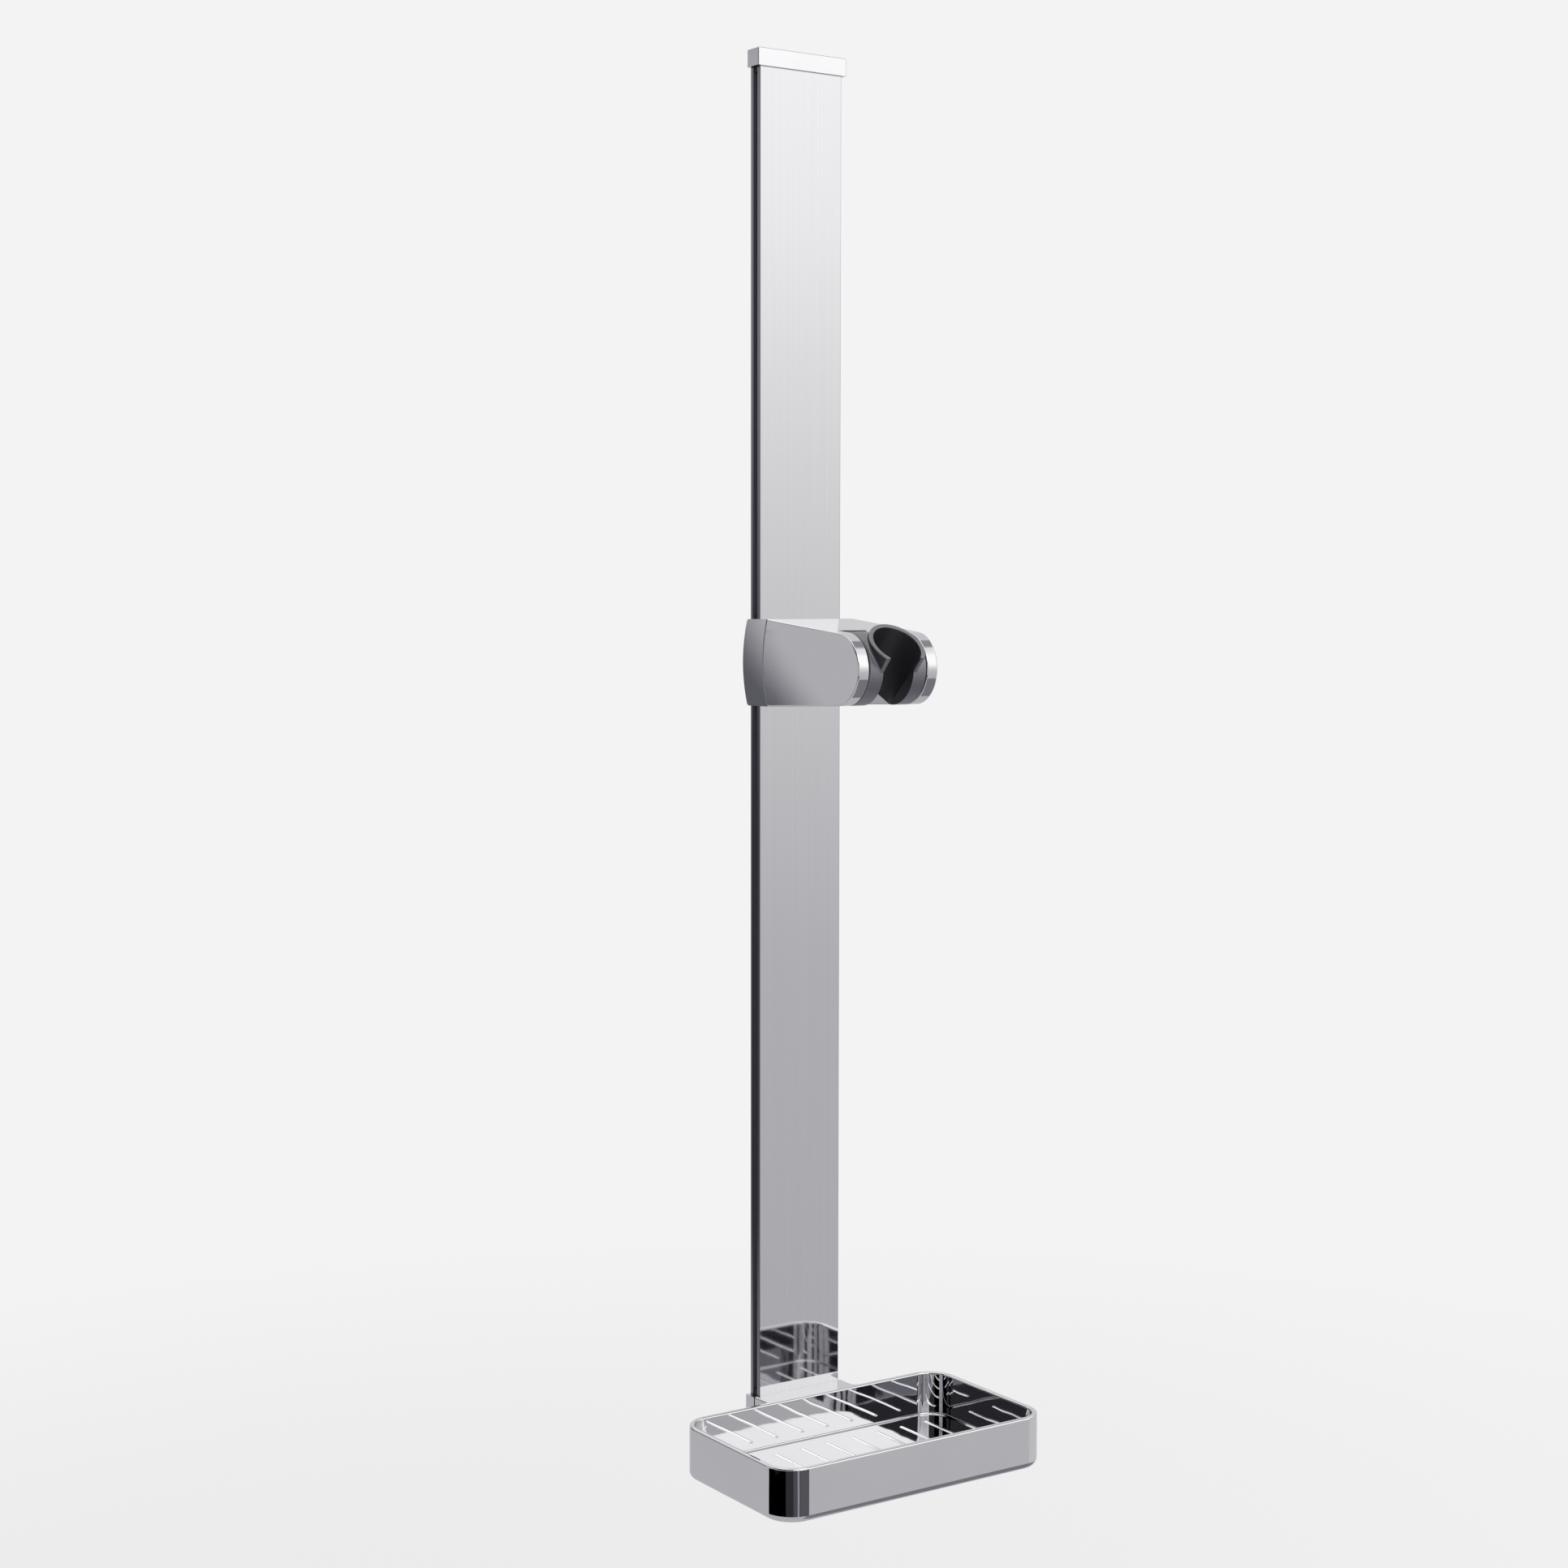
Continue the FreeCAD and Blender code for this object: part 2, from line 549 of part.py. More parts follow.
def crown(inset):
    """The space between the two gently domed sides of the slider, narrowed by inset."""
    half = SLIDER_HALF_WIDTH - inset
    tall = PARTING_TOP + 2 * BEYOND
    sagitta = CROWN_SIDE_RADIUS - math.sqrt(CROWN_SIDE_RADIUS ** 2 - tall ** 2)
    y = RAIL_FRONT
    z = AXIS_Z + PARTING_MIDDLE
    low = FreeCAD.Vector(half - sagitta, y, z - tall)
    high = FreeCAD.Vector(half - sagitta, y, z + tall)
    inner_low = FreeCAD.Vector(-2 * half, y, z - tall)
    inner_high = FreeCAD.Vector(-2 * half, y, z + tall)
    edges = [Part.Arc(low, FreeCAD.Vector(half, y, z), high).toShape()]
    edges.append(Part.LineSegment(high, inner_high).toShape())
    edges.append(Part.LineSegment(inner_high, inner_low).toShape())
    edges.append(Part.LineSegment(inner_low, low).toShape())
    section = Part.Face(Part.Wire(edges))
    centre = FreeCAD.Vector(half - CROWN_PLAN_RADIUS, y, z)
    reach = HOLDER_REACH + HOLDER_RADIUS + REAR_WRAP + REAR_BOW
    half_angle = math.degrees(1.2 * reach / CROWN_PLAN_RADIUS)
    section.rotate(centre, FreeCAD.Vector(0, 0, 1), -half_angle)
    right = section.revolve(centre, FreeCAD.Vector(0, 0, 1), 2 * half_angle)
    return right.common(mirrored(right))


def screw_places():
    """The (x, z) places of the four screws that join carriage and housing."""
    x = cavity_half() - BOSS_D / 2 + BOSS_MERGE
    high = cavity_top() - BOSS_D / 2 + BOSS_MERGE
    low = cavity_floor() + BOSS_D / 2 - BOSS_MERGE
    return [(side * x, z) for side in (-1, 1) for z in (low, high)]


def cavity_half():
    """Half the width of the hollow in the housing."""
    return SLIDER_HALF_WIDTH - SIDE_COVER - CAVITY_WALL - 1.0


def cavity_top():
    """The height of the hollow's ceiling, below the sloping top wall."""
    return AXIS_Z + PARTING_TOP - CAVITY_WALL - CAVITY_DEPTH * 0.1


def cavity_floor():
    """The height of the hollow's floor."""
    return AXIS_Z - PARTING_BOTTOM + CAVITY_WALL


def housing_cavity():
    """The hollow behind the housing's web, around the screw bosses."""
    half = cavity_half()
    hollow = box(-half, half, CAVITY_FRONT, RAIL_FRONT, cavity_floor(), cavity_top())
    for x, z in screw_places():
        hollow = hollow.cut(rod(BOSS_D / 2, (x, CAVITY_FRONT - 1, z), (x, RAIL_FRONT + 1, z)))
    return hollow


def holder_pocket():
    """The space between the arms: round behind the holder and open below for the hose."""
    clear = HOLDER_RADIUS + POCKET_CLEARANCE
    x0 = -ARM_INNER
    x1 = ARM_INNER
    round_part = axis_rod(clear, x0, x1)
    ahead = AXIS_Y - HOLDER_RADIUS - BEYOND
    front = box(x0, x1, ahead, AXIS_Y + LIP_SETBACK, AXIS_Z - HOLDER_RADIUS - 4 * BEYOND,
                AXIS_Z + HOLDER_RADIUS + 4 * BEYOND)
    corners = [at_axis(0, 0), at_axis(clear, -3.0), at_axis(HOSE_RELIEF_DEPTH, -PARTING_BOTTOM - BEYOND)]
    corners.append(at_axis(0, -PARTING_BOTTOM - BEYOND))
    edges = [side_line(corners[i], corners[(i + 1) % 4]) for i in range(4)]
    return round_part.fuse([front, side_prism(edges, x0, x1)])


def axis_rod(radius, x0, x1):
    """A cylinder on the holder's axis from x0 to x1."""
    return rod(radius, (x0, AXIS_Y, AXIS_Z), (x1, AXIS_Y, AXIS_Z))


def pivot_seat():
    """The X of the arm's face that the pivot screw's spring washer rests on."""
    return ARM_INNER + PIVOT_BEARING


def arm_bores():
    """Bearing bore, head recess and friction washer recess of the right arm."""
    bore = axis_rod(PIVOT_SHANK_D / 2 + BEARING_FIT, 0, pivot_seat() + 1)
    head = axis_rod(PIVOT_HEAD_D / 2 + FIT, pivot_seat(), 2 * SLIDER_HALF_WIDTH)
    recess = axis_rod(FRICTION_WASHER_D / 2 + FIT, 0, ARM_INNER + FRICTION_WASHER - FIT)
    return bore.fuse([head, recess])


def front_housing():
    """The forked housing: web with the brake cavity and two arms with round fronts."""
    half = 2 * SLIDER_HALF_WIDTH
    body = housing_prism(-half, half, PARTING_GAP).common(crown(SIDE_COVER))
    body = body.cut(holder_pocket())

    def arm_edge(edge):
        bounds = edge.BoundBox
        inner = bounds.XLength < 0.01 and abs(abs(bounds.Center.x) - ARM_INNER) < 0.01
        return inner and bounds.YMax < AXIS_Y + LIP_SETBACK - 1 and bounds.YLength > 1

    body = rounded(body, ARM_ROUND, arm_edge)
    body = body.cut(housing_cavity())
    body = body.cut(both_sides(arm_bores()))
    for x, z in screw_places():
        end = carriage_screw_head_y() - CARRIAGE_SCREW_LENGTH - 0.5
        body = body.cut(rod(CARRIAGE_SCREW_D / 2 + THREAD_FIT, (x, end, z), (x, RAIL_FRONT, z)))
    return body.removeSplitter()


def right_side_cover():
    """The thin domed plate that hides the pivot screw on the arm's outer side."""
    half = 2 * SLIDER_HALF_WIDTH
    plate = housing_prism(0, half, PARTING_GAP).common(crown(0.0)).cut(crown(SIDE_COVER))

    def outer_edge(edge):
        bounds = edge.BoundBox
        point = edge.valueAt((edge.FirstParameter + edge.LastParameter) / 2)
        on_outside = point.x > crown_half(point.y, point.z, SIDE_COVER / 2)
        return on_outside and bounds.YLength > 1

    return rounded(plate, COVER_EDGE_ROUND, outer_edge)


def crown_half(y, z, inset):
    """Half the slider's width at one place of its domed sides."""
    rise = CROWN_SIDE_RADIUS - math.sqrt(CROWN_SIDE_RADIUS ** 2 - (z - AXIS_Z - PARTING_MIDDLE) ** 2)
    radius = CROWN_PLAN_RADIUS - rise
    back = CROWN_PLAN_RADIUS - math.sqrt(radius ** 2 - (y - RAIL_FRONT) ** 2)
    return SLIDER_HALF_WIDTH - inset - back


def carriage_screw_head_y():
    """The Y of the countersunk heads, just under the carriage's sliding face."""
    return RAIL_FRONT - CARRIAGE_CLEARANCE - 0.2


def glide_places():
    """Heights of the pegs of a glide."""
    middle = AXIS_Z + PARTING_MIDDLE
    return (middle - GLIDE_PEG_SPACING / 2, middle + GLIDE_PEG_SPACING / 2)


def carriage():
    """The rear shell that wraps the rail: plate, side arms and hooks behind the back lips."""
    half = 2 * SLIDER_HALF_WIDTH
    body = carriage_prism(-half, half).common(crown(0.0))
    inner = RAIL_HALF + SIDE_CLEARANCE
    middle = AXIS_Z + PARTING_MIDDLE
    low = AXIS_Z - PARTING_BOTTOM - BEYOND
    high = AXIS_Z + PARTING_TOP + BEYOND
    hooks = body.common(box(-inner, inner, RAIL_BACK + CARRIAGE_CLEARANCE, BEYOND,
                            middle - HOOK_HALF_HEIGHT, middle + HOOK_HALF_HEIGHT))
    hooks = hooks.cut(box(HOOK_REACH - inner, inner - HOOK_REACH, RAIL_BACK, BEYOND, low, high))
    body = body.cut(box(-inner, inner, RAIL_FRONT - CARRIAGE_CLEARANCE, BEYOND, low, high))
    body = body.fuse(hooks).removeSplitter()
    for x, z in screw_places():
        head = carriage_screw_head_y()
        shank = CARRIAGE_SCREW_D / 2 + FIT
        wide = CARRIAGE_SCREW_HEAD_D / 2 + FIT
        body = body.cut(rod(shank, (x, RAIL_FRONT - 2 * PARTING_REACH, z), (x, RAIL_FRONT, z)))
        body = body.cut(taper(wide, shank, (x, head, z), (x, head - (wide - shank), z)))
        body = body.cut(rod(wide, (x, head, z), (x, RAIL_FRONT, z)))
    bore = BRAKE_PAD_D / 2 + BRAKE_BORE_CLEARANCE
    body = body.cut(rod(bore, (0, RAIL_FRONT - 2 * PARTING_REACH, middle), (0, RAIL_FRONT, middle)))
    y = (GROOVE_FRONT + GROOVE_BACK) / 2
    for z in glide_places():
        hole = rod(GLIDE_PEG_D / 2 + THREAD_FIT, (inner - 0.2, y, z), (inner + GLIDE_PEG_LENGTH + 0.1, y, z))
        body = body.cut(both_sides(hole))
    return body


def carriage_screws():
    """Four countersunk screws from the sliding face into the housing's bosses."""
    screws = []
    for x, z in screw_places():
        head = carriage_screw_head_y()
        shank = rod(CARRIAGE_SCREW_D / 2, (x, head, z), (x, head - CARRIAGE_SCREW_LENGTH, z))
        cone_end = (x, head - (CARRIAGE_SCREW_HEAD_D - CARRIAGE_SCREW_D) / 2, z)
        cone = taper(CARRIAGE_SCREW_HEAD_D / 2, CARRIAGE_SCREW_D / 2, (x, head, z), cone_end)
        bottom = FreeCAD.Vector(x, head - CARRIAGE_DRIVE_DEPTH, z)
        drive = hexagon(CARRIAGE_DRIVE, bottom, FreeCAD.Vector(0, 2 * CARRIAGE_DRIVE_DEPTH, 0))
        screws.append(shank.fuse(cone).cut(drive).removeSplitter())
    return Part.makeCompound(screws)


def right_glide():
    """The plastic strip that runs in one side groove, with two pegs in the carriage's arm."""
    middle = AXIS_Z + PARTING_MIDDLE
    seat = RAIL_HALF + SIDE_CLEARANCE - THREAD_FIT
    strip = box(GROOVE_FLOOR + GLIDE_CLEARANCE, seat, GROOVE_FRONT + GLIDE_CLEARANCE,
                GROOVE_BACK - GLIDE_CLEARANCE, middle - GLIDE_LENGTH / 2, middle + GLIDE_LENGTH / 2)
    strip = rounded(strip, GLIDE_NOSE, lambda edge: along(edge, 1) and edge.BoundBox.XMax < RAIL_HALF)
    y = (GROOVE_FRONT + GROOVE_BACK) / 2
    end = seat + GLIDE_PEG_LENGTH
    pegs = [rod(GLIDE_PEG_D / 2, (seat - 0.5, y, z), (end, y, z)) for z in glide_places()]
    return strip.fuse(pegs).removeSplitter()


def brake_pad():
    """The rubber pad that presses on the rail's face."""
    z = AXIS_Z + PARTING_MIDDLE
    face = RAIL_FRONT - CARRIAGE_CLEARANCE
    return rod(BRAKE_PAD_D / 2, (0, face, z), (0, face - BRAKE_PAD, z))


def brake_plunger():
    """The plunger behind the pad: a disc in the carriage's bore and a stem in the spring."""
    z = AXIS_Z + PARTING_MIDDLE
    y0 = RAIL_FRONT - CARRIAGE_CLEARANCE - BRAKE_PAD
    y1 = y0 - BRAKE_DISC
    disc = rod(BRAKE_PAD_D / 2, (0, y0, z), (0, y1, z))
    stem = rod(BRAKE_STEM_D / 2, (0, y1, z), (0, y1 - BRAKE_STEM_LENGTH, z))
    return disc.fuse(stem).removeSplitter()


def brake_spring():
    """The compression spring between the plunger and the housing's web."""
    start = RAIL_FRONT - CARRIAGE_CLEARANCE - BRAKE_PAD - BRAKE_DISC - SPRING_WIRE / 2 - FIT
    end = CAVITY_FRONT + SPRING_WIRE / 2 + FIT
    height = start - end
    helix = Part.makeHelix(height / SPRING_TURNS, height, SPRING_RADIUS)
    corners = [math.radians(angle) for angle in range(0, 361, 360 // SPRING_FACETS)]
    half = SPRING_WIRE / 2
    points = [FreeCAD.Vector(SPRING_RADIUS + half * math.cos(a), 0, half * math.sin(a)) for a in corners]
    ring = Part.makePolygon(points)
    coil = Part.Wire(helix.Edges).makePipeShell([ring], True, True)
    coil.rotate(FreeCAD.Vector(0, 0, 0), FreeCAD.Vector(1, 0, 0), 90)
    coil.translate(FreeCAD.Vector(0, start, AXIS_Z + PARTING_MIDDLE))
    return coil


# Holder and pivots

def tilted(shape):
    """Turn a shape made round the origin to the holder's tilt and move it to the holder's axis."""
    turned = shape.copy()
    turned.rotate(FreeCAD.Vector(0, 0, 0), FreeCAD.Vector(1, 0, 0), HOLDER_TILT)
    turned.translate(FreeCAD.Vector(0, AXIS_Y, AXIS_Z))
    return turned


def cone_rate():
    """How much the cone's radius grows for each millimetre of height."""
    return (CONE_RIM_RADIUS - CONE_FOOT_RADIUS) / (CONE_RIM_HEIGHT + HOLDER_RADIUS)


def cone_body(wall, z0, z1):
    """A stretch of the hand shower's cone, wider by wall, standing on the holder's own frame."""
    rate = cone_rate()
    r0 = CONE_RIM_RADIUS + wall - rate * (CONE_RIM_HEIGHT - z0)
    r1 = CONE_RIM_RADIUS + wall - rate * (CONE_RIM_HEIGHT - z1)
    return taper(r0, r1, (0, -CONE_OFFSET, z0), (0, -CONE_OFFSET, z1))


def holder_barrel():
    """The cylinder with the split cone that grips the hand shower."""
    barrel = rod(HOLDER_RADIUS, (-HOLDER_HALF_LENGTH, 0, 0), (HOLDER_HALF_LENGTH, 0, 0))
    barrel = barrel.makeChamfer(HOLDER_END_CHAMFER, barrel.Edges)
    wide = 2 * HOLDER_RADIUS
    sleeve = cone_body(CONE_WALL, 0, CONE_RIM_HEIGHT)
    sleeve = sleeve.common(box(-wide, wide, -EAR_FRONT, wide, -1, wide))
    body = barrel.fuse(sleeve).removeSplitter()

    def joins_cone(edge):
        point = edge.valueAt((edge.FirstParameter + edge.LastParameter) / 2)
        on_barrel = abs(math.hypot(point.y, point.z) - HOLDER_RADIUS) < 0.01
        return on_barrel and abs(point.x) < HOLDER_HALF_LENGTH - 2 * HOLDER_END_CHAMFER and point.z > 1

    body = rounded(body, CONE_BLEND, joins_cone)
    body = body.cut(cone_body(0, -HOLDER_RADIUS - BEYOND, CONE_RIM_HEIGHT + BEYOND))
    half = SLOT_WIDTH / 2
    body = body.cut(box(-half, half, -wide, -CONE_OFFSET, -wide, wide))
    body = rounded(body, CONE_RIM_ROUND, lambda edge: level(edge, CONE_RIM_HEIGHT))
    for side in (-1, 1):
        start = (side * (HOLDER_HALF_LENGTH - INSERT_LENGTH), 0, 0)
        body = body.cut(rod(INSERT_D / 2, start, (side * (HOLDER_HALF_LENGTH + 1), 0, 0)))
    return tilted(body.removeSplitter())


def right_insert():
    """The threaded brass insert in the holder's end."""
    start = HOLDER_HALF_LENGTH - INSERT_LENGTH
    body = axis_rod(INSERT_D / 2, start, HOLDER_HALF_LENGTH)
    return body.cut(axis_rod(PIVOT_THREAD_D / 2 + THREAD_FIT, start, HOLDER_HALF_LENGTH))


def right_pivot_screw():
    """The shoulder screw that turns with the holder in the arm's bore."""
    tip = HOLDER_HALF_LENGTH - INSERT_LENGTH + 0.2
    head = pivot_seat() + BEARING_FIT + SPRING_WASHER
    thread = axis_rod(PIVOT_THREAD_D / 2, tip, HOLDER_HALF_LENGTH + 0.1)
    shank = axis_rod(PIVOT_SHANK_D / 2, HOLDER_HALF_LENGTH, head + 0.1)
    cap = axis_rod(PIVOT_HEAD_D / 2, head, head + PIVOT_HEAD)
    half = PIVOT_SLOT / 2
    slot = box(head + PIVOT_HEAD * 0.4, head + 2 * PIVOT_HEAD, AXIS_Y - PIVOT_HEAD_D, AXIS_Y + PIVOT_HEAD_D,
               AXIS_Z - half, AXIS_Z + half)
    return thread.fuse([shank, cap]).cut(slot).removeSplitter()


def ring_washer(x0, x1, inner, outer):
    """A flat ring round the holder's axis."""
    return axis_rod(outer, x0, x1).cut(axis_rod(inner, x0 - 1, x1 + 1))


def right_spring_washer():
    """The spring washer under the pivot screw's head."""
    start = pivot_seat() + BEARING_FIT
    return ring_washer(start, start + SPRING_WASHER, PIVOT_SHANK_D / 2 + FIT, PIVOT_HEAD_D / 2 - 0.3)


def right_friction_washer():
    """The nylon washer between the arm and the holder's end."""
    end = ARM_INNER + FRICTION_WASHER - FIT
    return ring_washer(end - FRICTION_WASHER, end, PIVOT_SHANK_D / 2 + 2 * FIT, FRICTION_WASHER_D / 2)


def pieces():
    """Every node of the model with its shape."""
    upper = SCREW_SPACING / 2
    nodes = {
        "rail_profile": rail_profile(),
        "upper_wall_bracket": wall_bracket(upper, True),
        "lower_wall_bracket": wall_bracket(-upper, False),
        "top_plug": top_plug(),
        "hanging_screw": hanging_screw(),
        "top_cap": top_cap(),
        "bottom_plug": bottom_plug(),
        "tray": tray(),
        "tray_clamp_jaw": tray_clamp_jaw(),
        "tray_clamp_screws": tray_clamp_screws(),
        "carriage": carriage(),
        "front_housing": front_housing(),
        "carriage_screws": carriage_screws(),
        "brake_pad": brake_pad(),
        "brake_plunger": brake_plunger(),
        "brake_spring": brake_spring(),
        "holder_barrel": holder_barrel(),
    }
    paired = {
        "side_cover": right_side_cover(),
        "glide": right_glide(),
        "friction_washer": right_friction_washer(),
        "spring_washer": right_spring_washer(),
        "pivot_screw": right_pivot_screw(),
        "pivot_insert": right_insert(),
    }
    for name, shape in paired.items():
        nodes["right_" + name] = shape
        nodes["left_" + name] = mirrored(shape)
    return nodes


os.makedirs("parts", exist_ok=True)
for node, solid in pieces().items():
    solid.exportStep("parts/" + node + ".step")
    print(node, "solids", len(solid.Solids), "valid", solid.isValid(), "volume", round(solid.Volume, 1))
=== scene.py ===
"""Looks of a shower slide rail with a tilting hand-shower holder and a soap tray.

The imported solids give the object's shape and place. This script gives them their finishes, adds the
screw thread that they leave out, and sets up the camera and a plain studio.
"""

import json
import logging
import math
from dataclasses import dataclass, field
from enum import Enum
from typing import Any, Dict, List, Optional, Sequence, Tuple

import bpy
import numpy as np
from mathutils import Matrix, Vector


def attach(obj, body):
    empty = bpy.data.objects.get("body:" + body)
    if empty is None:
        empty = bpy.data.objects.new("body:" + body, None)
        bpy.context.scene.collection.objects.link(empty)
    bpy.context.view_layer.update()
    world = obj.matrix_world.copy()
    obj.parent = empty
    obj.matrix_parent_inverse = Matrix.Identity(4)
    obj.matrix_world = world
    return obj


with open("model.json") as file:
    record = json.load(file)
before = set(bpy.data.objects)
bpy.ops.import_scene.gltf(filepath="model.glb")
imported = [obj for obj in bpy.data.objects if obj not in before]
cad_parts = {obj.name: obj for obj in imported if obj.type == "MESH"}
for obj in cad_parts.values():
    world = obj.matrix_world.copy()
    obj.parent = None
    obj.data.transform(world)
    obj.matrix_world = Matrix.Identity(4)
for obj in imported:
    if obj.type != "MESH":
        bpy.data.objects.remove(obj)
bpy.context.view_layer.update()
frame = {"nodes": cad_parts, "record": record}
MM = 0.001
NOISE_LOW, NOISE_HIGH = 0.25, 0.75  # a noise texture's values lie mostly between these two
STRAIGHT_DOWN, STRAIGHT_UP = -90.0, 90.0
ACROSS = Vector((1.0, 0.0, 0.0))
Colour = Tuple[float, float, float, float]
Point = Tuple[float, float, float]
log = logging.getLogger("slide_rail")


def linear(code: str) -> Colour:
    """Turn an sRGB hex colour into linear light.

    Each channel c of 0..1 becomes c / 12.92 below 0.04045, else ((c + 0.055) / 1.055) ** 2.4.

    Args:
        code: Six hex digits, such as "C8CACC".

    Returns:
        Red, green, blue and an alpha of 1, in linear light.
    """
    parts = [int(code[i:i + 2], 16) / 255 for i in (0, 2, 4)]
    return (*[c / 12.92 if c <= 0.04045 else ((c + 0.055) / 1.055) ** 2.4 for c in parts], 1.0)


def grey(level: float) -> Colour:
    """A neutral grey of a linear level."""
    return (level, level, level, 1.0)


def add(tree: bpy.types.NodeTree, kind: str, links: Optional[Dict[Any, Any]] = None,
        values: Optional[Dict[Any, Any]] = None, **settings: Any) -> bpy.types.Node:
    """Add one shader node with its settings, its input values and its incoming links.

    Args:
        tree: The node tree that gets the node.
        kind: Blender's node type, such as "ShaderNodeTexNoise".
        links: Input name or index to the socket that feeds it.
        values: Input name or index to its constant value.
        settings: Properties of the node itself.

    Returns:
        The new node.
    """
    made = tree.nodes.new(kind)
    for name, value in settings.items():
        setattr(made, name, value)
    for key, value in (values or {}).items():
        made.inputs[key].default_value = value
    for key, socket in (links or {}).items():
        tree.links.new(socket, made.inputs[key])
    return made


def grid_faces(rows: int, columns: int, closed: bool) -> List[Tuple[int, int, int, int]]:
    """Quads of a grid whose points run along each row first.

    Args:
        rows: Number of rows of points.
        columns: Number of points in a row.
        closed: Whether each row closes on itself.

    Returns:
        One quad of point numbers for each cell.
    """
    last = columns if closed else columns - 1
    faces = []
    for row in range(rows - 1):
        for column in range(last):
            after = (column + 1) % columns
            faces.append((row * columns + column, row * columns + after,
                          (row + 1) * columns + after, (row + 1) * columns + column))
    return faces


def surface(name: str, points: np.ndarray, faces: Sequence[Tuple[int, ...]]) -> bpy.types.Object:
    """Make a smooth-shaded mesh object at the origin.

    Args:
        name: Name of the mesh and of the object.
        points: One row of x, y and z in metres for each point.
        faces: The point numbers of each face.

    Returns:
        The new object, linked to the scene.
    """
    mesh = bpy.data.meshes.new(name)
    mesh.from_pydata(points.tolist(), [], list(faces))
    mesh.shade_smooth()
    thing = bpy.data.objects.new(name, mesh)
    bpy.context.scene.collection.objects.link(thing)
    return thing


class Side(Enum):
    """The side of a limit that a mask covers."""

    BELOW = "LESS_THAN"
    ABOVE = "GREATER_THAN"


@dataclass(frozen=True)
class Finish:
    """A finish that starts as a plain principled surface; the subclasses add their detail."""

    name: str
    colour: str
    metallic: float = 0.0
    roughness: float = 0.4

    def build(self) -> bpy.types.Material:
        """Make the material with its procedural detail.

        Returns:
            The new material.
        """
        material = bpy.data.materials.new(self.name)
        material.use_nodes = True
        tree = material.node_tree
        shader = tree.nodes["Principled BSDF"]
        shader.inputs["Base Color"].default_value = linear(self.colour)
        shader.inputs["Metallic"].default_value = self.metallic
        shader.inputs["Roughness"].default_value = self.roughness
        self.detail(tree, shader)
        return material

    def detail(self, tree: bpy.types.NodeTree, shader: bpy.types.Node) -> None:
        """Add the marks of the process to the shader."""
        raise NotImplementedError

    def place(self, tree: bpy.types.NodeTree, stretch: Point = (1.0, 1.0, 1.0)) -> bpy.types.NodeSocket:
        """Object coordinates in metres, scaled along the three axes.

        Args:
            tree: The material's node tree.
            stretch: Factor for each axis. A small one draws a pattern out along that axis.

        Returns:
            The socket of the scaled coordinates.
        """
        here = add(tree, "ShaderNodeTexCoord")
        mapped = add(tree, "ShaderNodeMapping", {"Vector": here.outputs["Object"]}, {"Scale": stretch})
        return mapped.outputs["Vector"]

    def noise(self, tree: bpy.types.NodeTree, place: bpy.types.NodeSocket, size_mm: float, detail: float,
              roughness: float) -> bpy.types.NodeSocket:
        """A 0..1 pattern of spots.

        Args:
            tree: The material's node tree.
            place: Where the pattern is read, in metres.
            size_mm: Width of a spot.
            detail: How many finer layers lie over the first one.
            roughness: How strong each finer layer is.

        Returns:
            The socket of the pattern.
        """
        spots = add(tree, "ShaderNodeTexNoise", {"Vector": place},
                    {"Scale": 1.0 / (size_mm * MM), "Detail": detail, "Roughness": roughness})
        return spots.outputs["Fac"]

    def gloss(self, tree: bpy.types.NodeTree, pattern: bpy.types.NodeSocket,
              span: Tuple[float, float]) -> bpy.types.NodeSocket:
        """Roughness that follows a 0..1 pattern.

        Args:
            tree: The material's node tree.
            pattern: The pattern.
            span: Shares of the finish's own roughness at the pattern's two ends.

        Returns:
            The socket of the roughness.
        """
        low, high = (self.roughness * share for share in span)
        ramp = add(tree, "ShaderNodeMapRange", {"Value": pattern},
                   {"From Min": NOISE_LOW, "From Max": NOISE_HIGH, "To Min": low, "To Max": high})
        return ramp.outputs["Result"]

    def tint(self, tree: bpy.types.NodeTree, pattern: bpy.types.NodeSocket,
             other: str) -> bpy.types.NodeSocket:
        """The finish's colour, mixed by a 0..1 pattern with another one."""
        mix = add(tree, "ShaderNodeMix", {"Factor": pattern},
                  {6: linear(self.colour), 7: linear(other)}, data_type="RGBA")
        return mix.outputs[2]

    def relief(self, tree: bpy.types.NodeTree, pattern: bpy.types.NodeSocket, depth_mm: float,
               below: Optional[bpy.types.NodeSocket] = None) -> bpy.types.NodeSocket:
        """A normal that takes a 0..1 pattern as relief of a real depth.

        Args:
            tree: The material's node tree.
            pattern: The pattern, 1 where the surface is highest.
            depth_mm: Height of the relief.
            below: Normal of an earlier relief that this one lies on, if any.

        Returns:
            The socket of the normal.
        """
        links = {"Height": pattern, "Normal": below} if below is not None else {"Height": pattern}
        bump = add(tree, "ShaderNodeBump", links, {"Strength": 1.0, "Distance": depth_mm * MM})
        return bump.outputs["Normal"]


